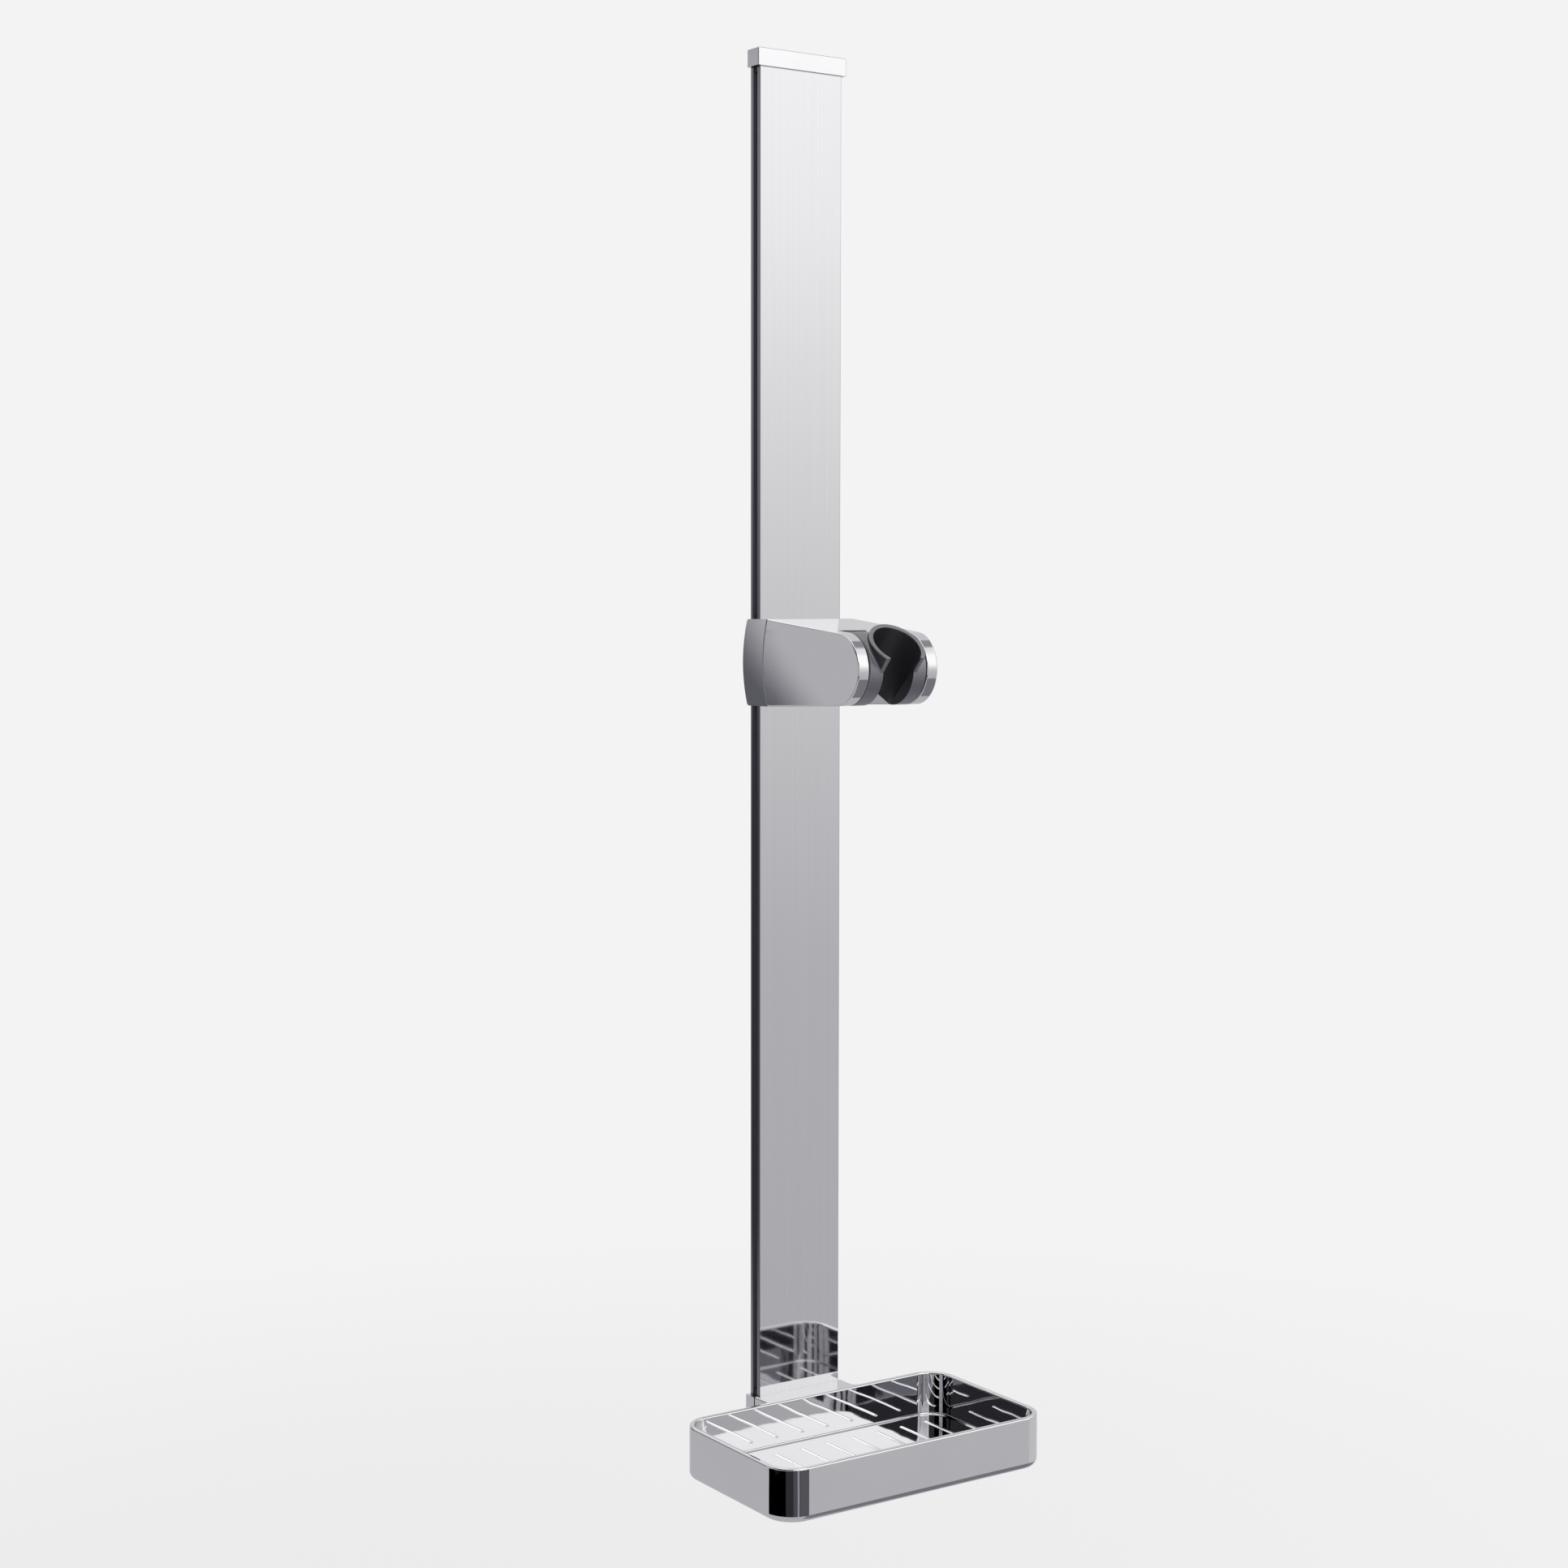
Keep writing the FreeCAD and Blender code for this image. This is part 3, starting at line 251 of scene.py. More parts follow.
@dataclass(frozen=True)
class BrightAluminium(Finish):
    """Bright-dipped, anodised aluminium drawn through a die: a mirror with faint lengthwise lines."""

    other: str = "E3E3E5"
    line_mm: float = 1.1
    line_depth_mm: float = 0.0012
    line_stretch: float = 0.004
    wave_mm: float = 26.0
    wave_depth_mm: float = 0.06
    wave_stretch: float = 0.6
    gloss_span: Tuple[float, float] = (0.8, 1.3)
    groove_y_mm: Tuple[float, float] = (-10.65, -6.95)
    side_x_mm: float = 24.7
    side_colour: str = "98989D"
    groove_shade_colour: str = "62626B"
    groove_roughness: float = 0.5

    def detail(self, tree: bpy.types.NodeTree, shader: bpy.types.Node) -> None:
        """Die lines, a slow wave, a darker colour on the narrow sides, and painted shade in the grooves.

        The lines are noise that is line_mm wide across the rail and hundreds of times longer along
        it. They shift the colour and the gloss a little. The wave of the drawn face is wave_mm long.
        The narrow sides lie beyond |x| = side_x_mm and the grooves between groove_y_mm.

        Args:
            tree: The material's node tree.
            shader: Its principled shader.
        """
        lines = self.noise(tree, self.place(tree, (1.0, 1.0, self.line_stretch)), self.line_mm,
                           detail=4.0, roughness=0.6)
        wave = self.noise(tree, self.place(tree, (1.0, 1.0, self.wave_stretch)), self.wave_mm,
                          detail=1.0, roughness=0.3)
        groove, side = self.groove_and_side_masks(tree)
        dull = add(tree, "ShaderNodeMix", {"Factor": groove, 2: self.gloss(tree, lines, self.gloss_span)},
                   {3: self.groove_roughness})
        tree.links.new(dull.outputs[0], shader.inputs["Roughness"])
        edge = add(tree, "ShaderNodeMix", {"Factor": side, 6: self.tint(tree, lines, self.other)},
                   {7: linear(self.side_colour)}, data_type="RGBA")
        # Painted shade: the grooves get a dark, bluish colour
        deep = add(tree, "ShaderNodeMix", {"Factor": groove, 6: edge.outputs[2]},
                   {7: linear(self.groove_shade_colour)}, data_type="RGBA")
        tree.links.new(deep.outputs[2], shader.inputs["Base Color"])
        # No metal in the grooves, as part of their painted shade
        painted_shade = add(tree, "ShaderNodeMix", {"Factor": groove}, {2: self.metallic, 3: 0.0})
        tree.links.new(painted_shade.outputs[0], shader.inputs["Metallic"])
        slow = self.relief(tree, wave, self.wave_depth_mm)
        tree.links.new(self.relief(tree, lines, self.line_depth_mm, slow), shader.inputs["Normal"])

    def groove_and_side_masks(self, tree: bpy.types.NodeTree) -> Tuple[bpy.types.NodeSocket, bpy.types.NodeSocket]:
        """Masks of the grooves, where shade is painted, and of the narrow sides, which are darker.

        Args:
            tree: The material's node tree.

        Returns:
            The mask of the grooves, then the mask of the narrow sides.
        """
        here = add(tree, "ShaderNodeTexCoord")
        place = add(tree, "ShaderNodeSeparateXYZ", {"Vector": here.outputs["Object"]})
        across = add(tree, "ShaderNodeMath", {0: place.outputs["X"]}, operation="ABSOLUTE")
        side = add(tree, "ShaderNodeMath", {0: across.outputs[0]}, {1: self.side_x_mm * MM},
                   operation=Side.ABOVE.value)
        inner = add(tree, "ShaderNodeMath", {1: side.outputs[0]}, {0: 1.0}, operation="SUBTRACT")
        low, high = (value * MM for value in self.groove_y_mm)
        depth = add(tree, "ShaderNodeMath", {0: place.outputs["Y"]},
                    {1: (low + high) / 2, 2: (high - low) / 2}, operation="COMPARE")
        groove = add(tree, "ShaderNodeMath", {0: inner.outputs[0], 1: depth.outputs[0]},
                     operation="MULTIPLY")
        return groove.outputs[0], side.outputs[0]


@dataclass(frozen=True)
class ChromePlate(Finish):
    """Bright chromium plate on a moulding: a near mirror that waves slightly as moulded skins do."""

    wave_mm: float = 14.0
    wave_depth_mm: float = 0.004
    haze: str = "E4E4E6"
    gloss_span: Tuple[float, float] = (0.7, 1.4)

    def detail(self, tree: bpy.types.NodeTree, shader: bpy.types.Node) -> None:
        """A slow wave in the surface, a faint change of gloss and a thin clouding of the plate.

        Args:
            tree: The material's node tree.
            shader: Its principled shader.
        """
        wave = self.noise(tree, self.place(tree), self.wave_mm, detail=1.0, roughness=0.4)
        cloud = self.noise(tree, self.place(tree), 2 * self.wave_mm, detail=3.0, roughness=0.6)
        tree.links.new(self.gloss(tree, cloud, self.gloss_span), shader.inputs["Roughness"])
        tree.links.new(self.tint(tree, cloud, self.haze), shader.inputs["Base Color"])
        tree.links.new(self.relief(tree, wave, self.wave_depth_mm), shader.inputs["Normal"])


@dataclass(frozen=True)
class MouldedPlastic(Finish):
    """Injection moulding with a fine spark-eroded grain and a slight mottle of colour."""

    grain_mm: float = 0.35
    grain_depth_mm: float = 0.01
    other: str = "808080"
    drift_mm: float = 12.0
    gloss_span: Tuple[float, float] = (0.85, 1.15)

    def detail(self, tree: bpy.types.NodeTree, shader: bpy.types.Node) -> None:
        """Grain in the surface, gloss that follows it, and a colour that drifts over centimetres.

        Args:
            tree: The material's node tree.
            shader: Its principled shader.
        """
        grain = self.noise(tree, self.place(tree), self.grain_mm, detail=4.0, roughness=0.6)
        drift = self.noise(tree, self.place(tree), self.drift_mm, detail=2.0, roughness=0.5)
        tree.links.new(self.gloss(tree, grain, self.gloss_span), shader.inputs["Roughness"])
        tree.links.new(self.tint(tree, drift, self.other), shader.inputs["Base Color"])
        tree.links.new(self.relief(tree, grain, self.grain_depth_mm), shader.inputs["Normal"])


@dataclass(frozen=True)
class LacqueredHolder(MouldedPlastic):
    """Lacquer on the cylinder, the cone's rim and the ears' edges, and a dark painted shade in the cone
    and slot.

    The cone stands on the axis of the holder's joint, leans as the record's mount for the hand shower
    says, and is offset forward. Its bore is a straight taper.
    """

    # Dark colour painted as shade inside the cone, on its outside below the rim and in the slot
    painted_shade: str = "2A2A2E"
    joint: str = "holder_tilt"
    mount: str = "handset_cone"
    barrel_mm: float = 18.0
    offset_mm: float = 4.5
    rim_height_mm: float = 20.4
    rim_round_mm: float = 0.7
    bore_mm: float = 12.75
    wall_mm: float = 2.3
    ear_front_mm: float = 14.3
    taper: float = 0.0508
    slot_half_mm: float = 9.2
    skin_mm: float = 0.12
    fade_mm: float = 0.7

    def detail(self, tree: bpy.types.NodeTree, shader: bpy.types.Node) -> None:
        """The moulding's detail, then painted shade: a dark colour without metal in the cone and the slot.

        Args:
            tree: The material's node tree.
            shader: Its principled shader.
        """
        super().detail(tree, shader)
        painted_shade_mask = self.painted_shade_mask(tree)
        lacquer = shader.inputs["Base Color"].links[0].from_socket
        # Painted shade: the dark colour, with no metal, where the mask is 1
        colour = add(tree, "ShaderNodeMix", {"Factor": painted_shade_mask, 6: lacquer}, {7: linear(self.painted_shade)},
                     data_type="RGBA")
        tree.links.new(colour.outputs[2], shader.inputs["Base Color"])
        metal_off_in_shade = add(tree, "ShaderNodeMix", {"Factor": painted_shade_mask}, {2: self.metallic, 3: 0.0})
        tree.links.new(metal_off_in_shade.outputs[0], shader.inputs["Metallic"])

    def painted_shade_mask(self, tree: bpy.types.NodeTree) -> bpy.types.NodeSocket:
        """1 where shade is painted: the cone below its rim, inside and outside, and the slot in the
        cylinder.

        The slot's faces are within slot_half_mm of the middle, in front of the cone's axis. They are
        shaded inside the cylinder only, and the ears' front faces, ear_front_mm ahead of the cylinder's
        axis, keep the lacquer.

        Args:
            tree: The material's node tree.

        Returns:
            The socket of the mask.
        """
        record = frame["record"]
        mount = next(item for item in record["mounts"] if item["name"] == self.mount)
        joint = next(item for item in record["behaviour"]["joints"] if item["name"] == self.joint)
        axis = Vector(mount["axis"]).normalized()
        front = ACROSS.cross(axis)
        centre = Vector(joint["pos_m"])
        rim = centre + (front * self.offset_mm + axis * self.rim_height_mm) * MM
        here = add(tree, "ShaderNodeTexCoord").outputs["Object"]
        centred = add(tree, "ShaderNodeVectorMath", {0: here}, {1: tuple(centre)}, operation="SUBTRACT")
        from_rim = add(tree, "ShaderNodeVectorMath", {0: here}, {1: tuple(rim)}, operation="SUBTRACT")
        away = from_rim.outputs[0]
        reach = self.distance(tree, centred.outputs[0], ACROSS)
        ahead = self.along(tree, away, front)
        place = add(tree, "ShaderNodeSeparateXYZ", {"Vector": away})
        middle = add(tree, "ShaderNodeMath", {0: place.outputs["X"]},
                     {1: 0.0, 2: (self.slot_half_mm + self.skin_mm) * MM}, operation="COMPARE")
        slot = self.both(tree, middle.outputs[0], self.compare(tree, ahead, Side.ABOVE, 0.0))
        beside = add(tree, "ShaderNodeMath", {1: slot}, {0: 1.0}, operation="SUBTRACT")
        ear_face = self.ear_front_mm - self.offset_mm - 2 * self.skin_mm
        behind = self.compare(tree, ahead, Side.BELOW, ear_face)
        skin = self.cone_skin(tree, away, reach, axis)
        cone = self.both(tree, skin, self.both(tree, beside.outputs[0], behind))
        inside = self.compare(tree, reach, Side.BELOW, self.barrel_mm - self.skin_mm)
        return self.either(tree, cone, self.both(tree, slot, inside))

    def cone_skin(self, tree: bpy.types.NodeTree, away: bpy.types.NodeSocket, reach: bpy.types.NodeSocket,
                  axis: Vector) -> bpy.types.NodeSocket:
        """1 on the cone's inner and outer side below its rim.

        With h the height above the rim, the bore's skin is within bore_mm + wall_mm / 2 + taper * h of
        the cone's axis. The outer side is within twice the wall of the bore, and farther from the
        cylinder's axis than barrel_mm, where it fades in over fade_mm.

        Args:
            tree: The material's node tree.
            away: The way from the rim's centre.
            reach: Distance from the cylinder's axis.
            axis: Direction of the cone's axis.

        Returns:
            The socket of the mask.
        """
        height = self.along(tree, away, axis)
        grown = add(tree, "ShaderNodeMath", {0: height}, {1: self.taper}, operation="MULTIPLY")
        level = add(tree, "ShaderNodeMath", {0: self.distance(tree, away, axis), 1: grown.outputs[0]},
                    operation="SUBTRACT")
        radius = level.outputs[0]
        inner = self.compare(tree, radius, Side.BELOW, self.bore_mm + self.wall_mm / 2)
        near = self.compare(tree, radius, Side.BELOW, self.bore_mm + self.wall_mm * 2)
        start = (self.barrel_mm + self.skin_mm) * MM
        beyond = add(tree, "ShaderNodeMapRange", {"Value": reach},
                     {"From Min": start, "From Max": start + self.fade_mm * MM})
        outer = self.both(tree, near, beyond.outputs["Result"])
        below = self.compare(tree, height, Side.BELOW, -self.rim_round_mm)
        return self.both(tree, below, self.either(tree, inner, outer))

    def along(self, tree: bpy.types.NodeTree, away: bpy.types.NodeSocket,
              axis: Vector) -> bpy.types.NodeSocket:
        """How far a way goes along an axis: their dot product."""
        dot = add(tree, "ShaderNodeVectorMath", {0: away}, {1: tuple(axis)}, operation="DOT_PRODUCT")
        return dot.outputs["Value"]

    def distance(self, tree: bpy.types.NodeTree, away: bpy.types.NodeSocket,
                 axis: Vector) -> bpy.types.NodeSocket:
        """Distance from a line: the length of the cross product of the way from it and its axis."""
        turn = add(tree, "ShaderNodeVectorMath", {0: away}, {1: tuple(axis)}, operation="CROSS_PRODUCT")
        return add(tree, "ShaderNodeVectorMath", {0: turn.outputs[0]}, operation="LENGTH").outputs["Value"]

    def compare(self, tree: bpy.types.NodeTree, value: bpy.types.NodeSocket, side: Side,
                limit_mm: float) -> bpy.types.NodeSocket:
        """1 where a length in metres is below or above a limit in millimetres."""
        mask = add(tree, "ShaderNodeMath", {0: value}, {1: limit_mm * MM}, operation=side.value)
        return mask.outputs[0]

    def both(self, tree: bpy.types.NodeTree, first: bpy.types.NodeSocket,
             second: bpy.types.NodeSocket) -> bpy.types.NodeSocket:
        """1 where both masks are 1."""
        return add(tree, "ShaderNodeMath", {0: first, 1: second}, operation="MULTIPLY").outputs[0]

    def either(self, tree: bpy.types.NodeTree, first: bpy.types.NodeSocket,
               second: bpy.types.NodeSocket) -> bpy.types.NodeSocket:
        """1 where one of two masks is 1."""
        return add(tree, "ShaderNodeMath", {0: first, 1: second}, operation="MAXIMUM").outputs[0]


@dataclass(frozen=True)
class TurnedMetal(Finish):
    """Turned or headed metal with fine rings round the axis that runs across the rail."""

    ring_mm: float = 0.18
    ring_depth_mm: float = 0.004
    ring_stretch: float = 0.05
    gloss_span: Tuple[float, float] = (0.7, 1.3)

    def detail(self, tree: bpy.types.NodeTree, shader: bpy.types.Node) -> None:
        """Tool rings: noise that is ring_mm wide along X and drawn out along Y and Z.

        Args:
            tree: The material's node tree.
            shader: Its principled shader.
        """
        drawn_out = self.place(tree, (1.0, self.ring_stretch, self.ring_stretch))
        rings = self.noise(tree, drawn_out, self.ring_mm, detail=2.0, roughness=0.5)
        tree.links.new(self.gloss(tree, rings, self.gloss_span), shader.inputs["Roughness"])
        tree.links.new(self.relief(tree, rings, self.ring_depth_mm), shader.inputs["Normal"])


BRIGHT_ALUMINIUM = BrightAluminium("bright_dipped_aluminium", "DADADC", metallic=1.0, roughness=0.04)
CHROME = ChromePlate("bright_chrome_plate_on_abs", "EBEBEC", metallic=1.0, roughness=0.03)
TRAY_CHROME = ChromePlate("bright_chrome_plate_on_large_abs_dish", "EBEBEC", metallic=1.0, roughness=0.03,
                          wave_mm=22.0, wave_depth_mm=0.16)
SATIN_LACQUER = LacqueredHolder("satin_metallic_lacquer_on_abs", "9F9EA4", metallic=1.0, roughness=0.47,
                                grain_mm=0.3, grain_depth_mm=0.002, other="98979D")
BLACK_NYLON = MouldedPlastic("black_glass_filled_nylon", "0D0D0F", roughness=0.55, other="141416")
WHITE_ACETAL = MouldedPlastic("white_acetal_moulded", "DCDCD6", roughness=0.35, other="D2D2CA")
ZINC_STEEL = TurnedMetal("zinc_plated_steel_headed", "B9BBBE", metallic=1.0, roughness=0.32)
BRASS = TurnedMetal("turned_brass", "C7A15A", metallic=1.0, roughness=0.28)
NITRILE = MouldedPlastic("nitrile_rubber_pad", "141414", roughness=0.75, other="1B1B1B")

SLOT_FINISHES: Dict[str, Finish] = {
    "bright_aluminium": BRIGHT_ALUMINIUM,
    "chromed_plastic": CHROME,
    "grey_plastic": SATIN_LACQUER,
    "black_nylon": BLACK_NYLON,
    "white_acetal": WHITE_ACETAL,
    "steel": ZINC_STEEL,
    "brass": BRASS,
    "rubber": NITRILE,
}


class Workshop:
    """Keeps one material for each finish and dresses pieces with it."""

    def __init__(self) -> None:
        """Start with no material made."""
        self.made: Dict[Finish, bpy.types.Material] = {}

    def material(self, finish: Finish) -> bpy.types.Material:
        """The one material of a finish.

        Args:
            finish: The finish wanted.

        Returns:
            Its material, made when it is first wanted.
        """
        if finish not in self.made:
            self.made[finish] = finish.build()
        return self.made[finish]

    def dress(self, thing: bpy.types.Object, finish: Finish) -> None:
        """Give an object one finish all over.

        Args:
            thing: The object to dress.
            finish: The finish it gets.
        """
        material = self.material(finish)
        if not thing.material_slots:
            thing.data.materials.append(material)
        for slot in thing.material_slots:
            slot.material = material


@dataclass
class PhotoCamera:
    """The camera at the photograph's place: left of the rail and a little above its middle.

    It is turned to the right by yaw and looks slightly down by tilt, both in radians.
    """

    place_mm: Point = (-762.4491, -1123.4137, 75.0106)
    yaw: float = 0.5955
    tilt: float = 0.0727
    roll: float = -0.0010
    focal_px: float = 3220.4621
    image_px: float = 1932.0
    sensor_mm: float = 36.0
    clip_m: Tuple[float, float] = (0.01, 50.0)

    def build(self) -> bpy.types.Object:
        """Make the camera, turned by roll about its view, by tilt about X and by yaw about Z.

        Returns:
            The camera, in use by the scene.
        """
        data = bpy.data.cameras.new("photo_camera")
        data.sensor_width = self.sensor_mm
        data.lens = self.focal_px * self.sensor_mm / self.image_px
        data.clip_start, data.clip_end = self.clip_m
        camera = bpy.data.objects.new("photo_camera", data)
        bpy.context.scene.collection.objects.link(camera)
        turn = (Matrix.Rotation(-self.yaw, 4, "Z") @ Matrix.Rotation(-self.tilt, 4, "X")
                @ Matrix.Rotation(self.roll, 4, "Y") @ Matrix.Rotation(math.pi / 2, 4, "X"))
        camera.matrix_world = Matrix.Translation(Vector(self.place_mm) * MM) @ turn
        bpy.context.scene.camera = camera
        return camera


@dataclass(frozen=True)
class Softbox:
    """One soft lamp of the studio, with its lengths in metres.

    Mirrors don't show it, and show the room's screens instead.
    """

    name: str
    place: Point
    aim: Point
    size: Tuple[float, float]
    watts: float

    def build(self) -> bpy.types.Object:
        """Make the area lamp and point it at its aim.

        Returns:
            The lamp.
        """
        data = bpy.data.lights.new(self.name, "AREA")
        data.shape = "RECTANGLE"
        data.size, data.size_y = self.size
        data.energy = self.watts
        lamp = bpy.data.objects.new(self.name, data)
        bpy.context.scene.collection.objects.link(lamp)
        lamp.location = self.place
        way = Vector(self.aim) - Vector(self.place)
        lamp.rotation_euler = way.to_track_quat("-Z", "Y").to_euler()
        lamp.visible_glossy = False
        return lamp


@dataclass(frozen=True)
class Screen:
    """A screen of the room, light or dark, between two azimuths and two elevations in degrees.

    Azimuth 0 is +Y and 90 is +X. The edges fade over soft degrees. A leaning screen moves by lean
    degrees of azimuth for each degree of elevation.
    """

    azimuths: Tuple[float, float]
    elevations: Tuple[float, float]
    soft: Tuple[float, float]
    level: float
    lean: float = 0.0

    def share(self, tree: bpy.types.NodeTree,
              angles: Sequence[bpy.types.NodeSocket]) -> bpy.types.NodeSocket:
        """How much of the screen a direction meets: 1 on it, 0 beyond its soft edges.

        Args:
            tree: The world's node tree.
            angles: Azimuth and elevation of the direction, in degrees.

        Returns:
            The socket of the share.
        """
        azimuth, elevation = angles
        if self.lean:
            upright = add(tree, "ShaderNodeMath", {0: elevation, 2: azimuth}, {1: -self.lean},
                          operation="MULTIPLY_ADD")
            azimuth = upright.outputs[0]
        parts = []
        spans = (self.azimuths, self.elevations)
        for angle, (low, high), soft in zip((azimuth, elevation), spans, self.soft):
            off = add(tree, "ShaderNodeMath", {0: angle}, {1: (low + high) / 2}, operation="SUBTRACT")
            away = add(tree, "ShaderNodeMath", {0: off.outputs[0]}, operation="ABSOLUTE")
            half = (high - low) / 2
            fade = add(tree, "ShaderNodeMapRange", {"Value": away.outputs[0]},
                       {"From Min": half + soft, "From Max": half}, interpolation_type="SMOOTHSTEP")
            parts.append(fade.outputs["Result"])
        both = add(tree, "ShaderNodeMath", {0: parts[0], 1: parts[1]}, operation="MULTIPLY")
        return both.outputs[0]


@dataclass
class Studio:
    """A pale room with soft light: the world, two lamps and the floor.

    Mirrors see the room's level at each of heights, as pairs of an elevation in degrees and a level,
    and the screens over it, where a later screen covers an earlier one. The pieces are lit by the
    lamps and by one plain level, fill. The floor's lengths are in metres.
    """

    background: str = "F3F3F3"
    fill: float = 0.62
    blue_gain: float = 0.22
    red_gain: float = 0.06
    floor_height: float = -0.56
    floor_side: float = 6.0
    floor_fade: Tuple[float, float] = (0.5, 1.4)
    floor_lit: float = 0.62
    floor_seen: float = 0.42
    floor_glow: float = 0.5
    lamps: List[Softbox] = field(default_factory=lambda: [
        Softbox("ceiling_softbox", place=(0.2, -0.1, 1.9), aim=(0.0, 0.0, 0.0), size=(1.6, 1.6),
                watts=15.0),
        Softbox("side_softbox", place=(1.9, -1.5, 1.0), aim=(0.0, 0.0, 0.1), size=(1.2, 1.8),
                watts=18.0),
    ])
    heights: Sequence[Tuple[float, float]] = (
        (-90, 0.50), (-24, 0.49), (-8, 0.57), (0, 0.77), (4, 0.92), (8, 1.10), (12, 1.19), (32, 1.17),
        (42, 0.90), (90, 0.90))
    screens: Sequence[Screen] = (
        # Grey walls on the right and behind, and a dark one low on the right
        Screen((82, 107), (50, 60), (16, 6), 0.29),
        Screen((56, 118), (-20, 22), (12, 10), 0.60),
        Screen((-14, 22), (-14, 26), (12, 8), 0.60),
        Screen((15, 68), (0, 50), (8, 5), 0.66),
        Screen((80, 152), (-55, -27), (8, 3), 0.20),
        # Front, on both sides of azimuth 180: bright above, grey in the middle, a thin dark strip below
        Screen((150, 186), (25, 40), (5, 4), 1.7),
        Screen((154, 182), (-4, 17), (6, 4), 0.52),
        Screen((150, 182), (-23, -18.5), (3, 2.5), 0.10),
        Screen((-182, -158), (-8, 17), (6, 4), 0.46),
        Screen((-182, -152), (-23, -18.5), (3, 2.5), 0.08),
        Screen((-174, -170), (-23, -18.5), (2, 2.5), 0.34),
        # Left: dark above and dark in a low strip, with a grey band and a narrow grey screen between
        Screen((-151, -50), (8, 46), (4, 10), 0.03),
        Screen((-123, -50), (8, 46), (3, 10), 0.0),
        Screen((-151, -50), (-23, -16.5), (4, 2.5), 0.03),
        Screen((-123, -50), (-23, -16.5), (3, 2.5), 0.0),
        Screen((-178, -68), (-13.5, 9), (14, 3.5), 0.42),
        Screen((-97, -83), (-16, 17), (4, 3), 0.40),
        # Behind on the left: a leaning grey wall with two small dark places
        Screen((-60, -10), (-60, 40), (3, 10), 0.50, lean=-0.486),
        Screen((-39, -28), (14, 22), (2, 4), 0.24),
        Screen((-30, -20), (-13, 14), (8.4, 5), 0.12, lean=0.62),
    )

    def room_level(self, tree: bpy.types.NodeTree) -> bpy.types.NodeSocket:
        """Brightness of the room in a direction: a ramp over elevation, then each screen mixed in.

        The azimuth is atan2(x, y) and the elevation is asin(z), both turned into degrees.

        Args:
            tree: The world's node tree.

        Returns:
            The socket of the room's colour.
        """
        here = add(tree, "ShaderNodeTexCoord")
        parts = add(tree, "ShaderNodeSeparateXYZ", {"Vector": here.outputs["Generated"]})
        turn = add(tree, "ShaderNodeMath", {0: parts.outputs["X"], 1: parts.outputs["Y"]},
                   operation="ARCTAN2")
        rise = add(tree, "ShaderNodeMath", {0: parts.outputs["Z"]}, operation="ARCSINE")
        azimuth = add(tree, "ShaderNodeMath", {0: turn.outputs[0]}, operation="DEGREES")
        elevation = add(tree, "ShaderNodeMath", {0: rise.outputs[0]}, operation="DEGREES")
        share = add(tree, "ShaderNodeMapRange", {"Value": elevation.outputs[0]},
                    {"From Min": STRAIGHT_DOWN, "From Max": STRAIGHT_UP})
        ramp = add(tree, "ShaderNodeValToRGB", {"Fac": share.outputs["Result"]})
        stops = ramp.color_ramp.elements
        for index, (height, level) in enumerate(self.heights):
            place = (height - STRAIGHT_DOWN) / (STRAIGHT_UP - STRAIGHT_DOWN)
            stop = stops[index] if index < 2 else stops.new(place)  # a new ramp already has two stops
            stop.position = place
            stop.color = self.shade(level)
        room = ramp.outputs["Color"]
        for screen in self.screens:
            amount = screen.share(tree, (azimuth.outputs[0], elevation.outputs[0]))
            mix = add(tree, "ShaderNodeMix", {"Factor": amount, 6: room}, {7: self.shade(screen.level)},
                      data_type="RGBA")
            room = mix.outputs[2]
        return room

    def shade(self, level: float) -> Colour:
        """The colour of a place in the room: neutral when bright, and cooler the darker it is."""
        cool = self.blue_gain * (1.0 - min(level, 1.0)) ** 2
        return (level * (1.0 + self.red_gain * cool), level, level * (1.0 + cool), 1.0)

    def seen(self, tree: bpy.types.NodeTree) -> bpy.types.NodeSocket:
        """1 for rays of the camera, of mirrors and of clear pieces, 0 for rays that only light.

        Args:
            tree: The node tree of the world or of a material.

        Returns:
            The socket of the mask.
        """
        path = add(tree, "ShaderNodeLightPath").outputs
        mirrors = add(tree, "ShaderNodeMath", {0: path["Is Camera Ray"], 1: path["Is Glossy Ray"]},
                      operation="MAXIMUM")
        clear = add(tree, "ShaderNodeMath", {0: mirrors.outputs[0], 1: path["Is Transmission Ray"]},
                    operation="MAXIMUM")
        return clear.outputs[0]

    def world(self) -> None:
        """The pale room: what lights pieces is one plain level, what mirrors show has its screens."""
        world = bpy.data.worlds.new("studio_room")
        world.use_nodes = True
        bpy.context.scene.world = world
        tree = world.node_tree
        tree.nodes.clear()
        fill = add(tree, "ShaderNodeBackground", values={"Color": grey(self.fill)})
        room = add(tree, "ShaderNodeBackground", {"Color": self.room_level(tree)})
        plain = add(tree, "ShaderNodeBackground", values={"Color": linear(self.background)})
        path = add(tree, "ShaderNodeLightPath")
        shown = add(tree, "ShaderNodeMixShader",
                    {0: path.outputs["Is Camera Ray"], 1: room.outputs[0], 2: plain.outputs[0]})
        mix = add(tree, "ShaderNodeMixShader",
                  {0: self.seen(tree), 1: fill.outputs[0], 2: shown.outputs[0]})
        add(tree, "ShaderNodeOutputWorld", {"Surface": mix.outputs[0]})

    def floor(self) -> None:
        """A wide pale floor below the tray. Mirrors look past it at the room."""
        side, height = self.floor_side, self.floor_height
        corners = [(-side, -side, height), (side, -side, height),
                   (side, side, height), (-side, side, height)]
        mesh = bpy.data.meshes.new("studio_floor")
        mesh.from_pydata(corners, [], [(0, 1, 2, 3)])
        mesh.materials.append(self.floor_paint())
        floor = bpy.data.objects.new("studio_floor", mesh)
        bpy.context.scene.collection.objects.link(floor)
        floor.visible_glossy = False

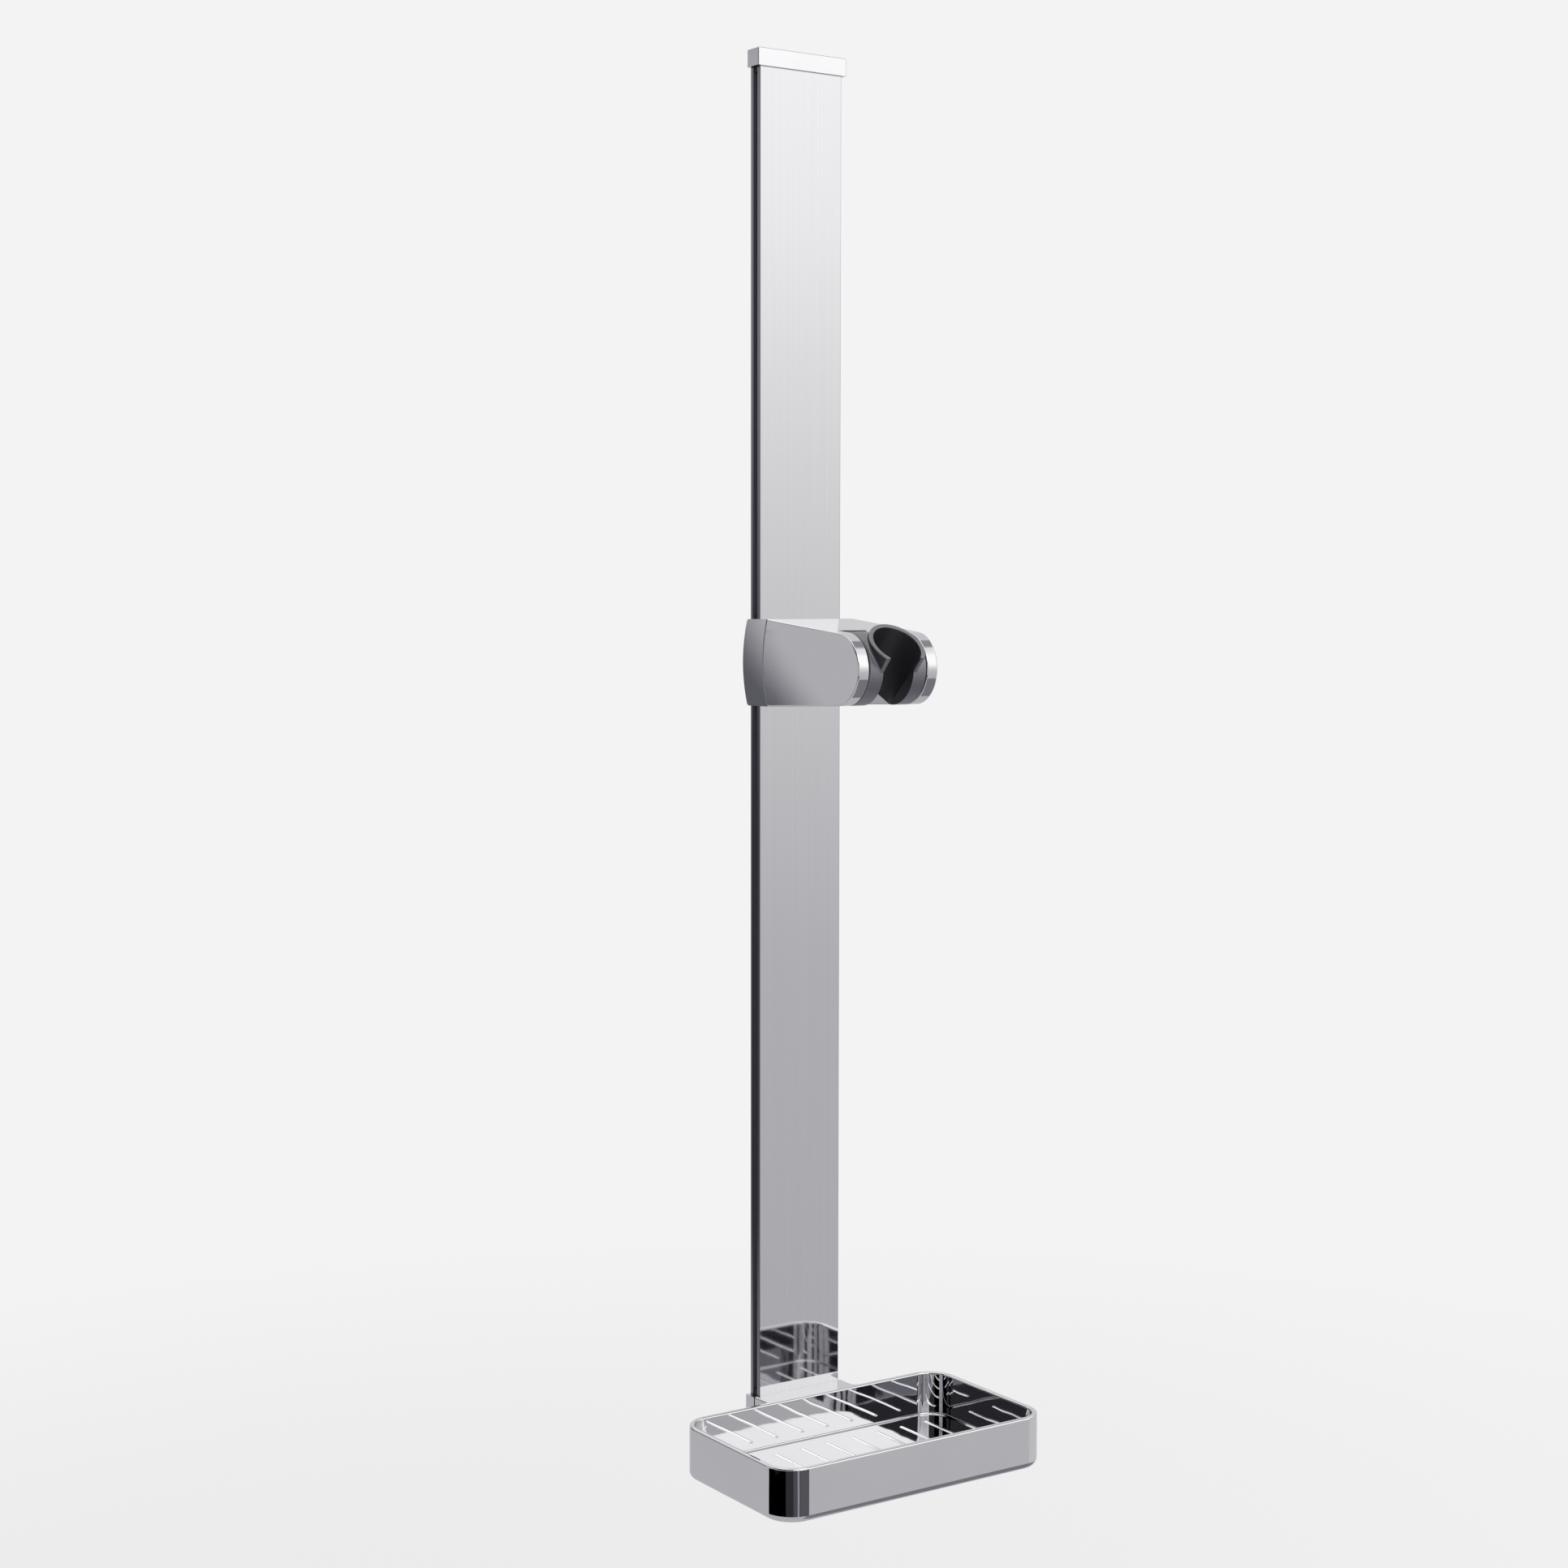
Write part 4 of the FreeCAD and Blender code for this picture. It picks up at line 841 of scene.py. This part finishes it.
    def floor_paint(self) -> bpy.types.Material:
        """Paint that keeps the object's shadow and fades into the room.

        The camera sees dark paint with a glow over it near the object, and a plain glow beyond
        floor_fade in metres, so no horizon shows. Rays that only light meet plain paint.

        Returns:
            The floor's material.
        """
        material = bpy.data.materials.new("pale_floor_paint")
        material.use_nodes = True
        tree = material.node_tree
        tree.nodes.clear()
        lit = add(tree, "ShaderNodeBsdfDiffuse", values={"Color": grey(self.floor_lit)})
        seen = add(tree, "ShaderNodeBsdfDiffuse", values={"Color": grey(self.floor_seen)})
        pale = linear(self.background)
        glow = add(tree, "ShaderNodeEmission", values={"Color": pale, "Strength": self.floor_glow})
        near = add(tree, "ShaderNodeAddShader", {0: seen.outputs[0], 1: glow.outputs[0]})
        far = add(tree, "ShaderNodeEmission", values={"Color": pale})
        here = add(tree, "ShaderNodeTexCoord")
        away = add(tree, "ShaderNodeVectorMath", {0: here.outputs["Object"]}, operation="LENGTH")
        start, end = self.floor_fade
        fade = add(tree, "ShaderNodeMapRange", {"Value": away.outputs["Value"]},
                   {"From Min": start, "From Max": end}, interpolation_type="SMOOTHSTEP")
        shown = add(tree, "ShaderNodeMixShader",
                    {0: fade.outputs["Result"], 1: near.outputs[0], 2: far.outputs[0]})
        mix = add(tree, "ShaderNodeMixShader",
                  {0: self.seen(tree), 1: lit.outputs[0], 2: shown.outputs[0]})
        add(tree, "ShaderNodeOutputMaterial", {"Surface": mix.outputs[0]})
        return material

    def build(self) -> None:
        """Make world, lamps and floor, and use the plain view transform."""
        bpy.context.scene.view_settings.view_transform = "Standard"
        self.world()
        for lamp in self.lamps:
            lamp.build()
        self.floor()


@dataclass
class SlideRail:
    """All carried-over solids, dressed by the slot that the record gives them."""

    shop: Workshop
    own_finishes: Dict[str, Finish] = field(default_factory=lambda: {"tray": TRAY_CHROME})

    def build(self) -> None:
        """Give every solid the finish of its slot, or its own one."""
        slots = {part["node"]: part["material_slot"] for part in frame["record"]["subparts"]}
        for name, thing in frame["nodes"].items():
            self.shop.dress(thing, self.own_finishes.get(name, SLOT_FINISHES[slots[name]]))
            log.info("dressed %s", name)


@dataclass
class HangingThread:
    """The open stretch of thread on the hanging screw, seen from behind in the rail's channel.

    Its root lies inside the screw's solid and its crest stands a little proud of it.
    """

    shop: Workshop
    centre_y_mm: float = -7.2
    bottom_mm: float = 315.3
    top_mm: float = 324.6
    root_mm: float = 1.9
    crest_mm: float = 2.12
    pitch_mm: float = 0.7
    around: int = 48
    per_turn: int = 12

    def build(self) -> bpy.types.Object:
        """Make the thread as one grid over angle a and height z.

        The radius is root + (crest - root) * w, where w rises and falls once for each turn:
        w = 1 - |2 * frac(z / pitch - a / 2 pi) - 1|.

        Returns:
            The thread, dressed and set on the fixed body.
        """
        rows = int((self.top_mm - self.bottom_mm) / self.pitch_mm * self.per_turn) + 1
        angle = np.linspace(0.0, 2 * math.pi, self.around, endpoint=False)
        height = np.linspace(self.bottom_mm, self.top_mm, rows)
        a, z = np.meshgrid(angle, height)
        phase = np.mod(z / self.pitch_mm - a / (2 * math.pi), 1.0)
        radius = self.root_mm + (self.crest_mm - self.root_mm) * (1.0 - np.abs(2.0 * phase - 1.0))
        radius[0, :] = self.root_mm
        radius[-1, :] = self.root_mm
        points = np.stack([radius * np.cos(a), self.centre_y_mm + radius * np.sin(a), z], -1) * MM
        faces = grid_faces(rows, self.around, closed=True)
        thread = surface("hanging_screw_thread", points.reshape(-1, 3), faces)
        self.shop.dress(thread, ZINC_STEEL)
        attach(thread, "fixture")
        log.info("made %s", thread.name)
        return thread


def main() -> None:
    """Build camera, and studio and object."""
    logging.basicConfig(level=logging.INFO, format="%(message)s")
    PhotoCamera().build()
    Studio().build()
    shop = Workshop()
    SlideRail(shop).build()
    HangingThread(shop).build()


if __name__ == "__main__":
    main()
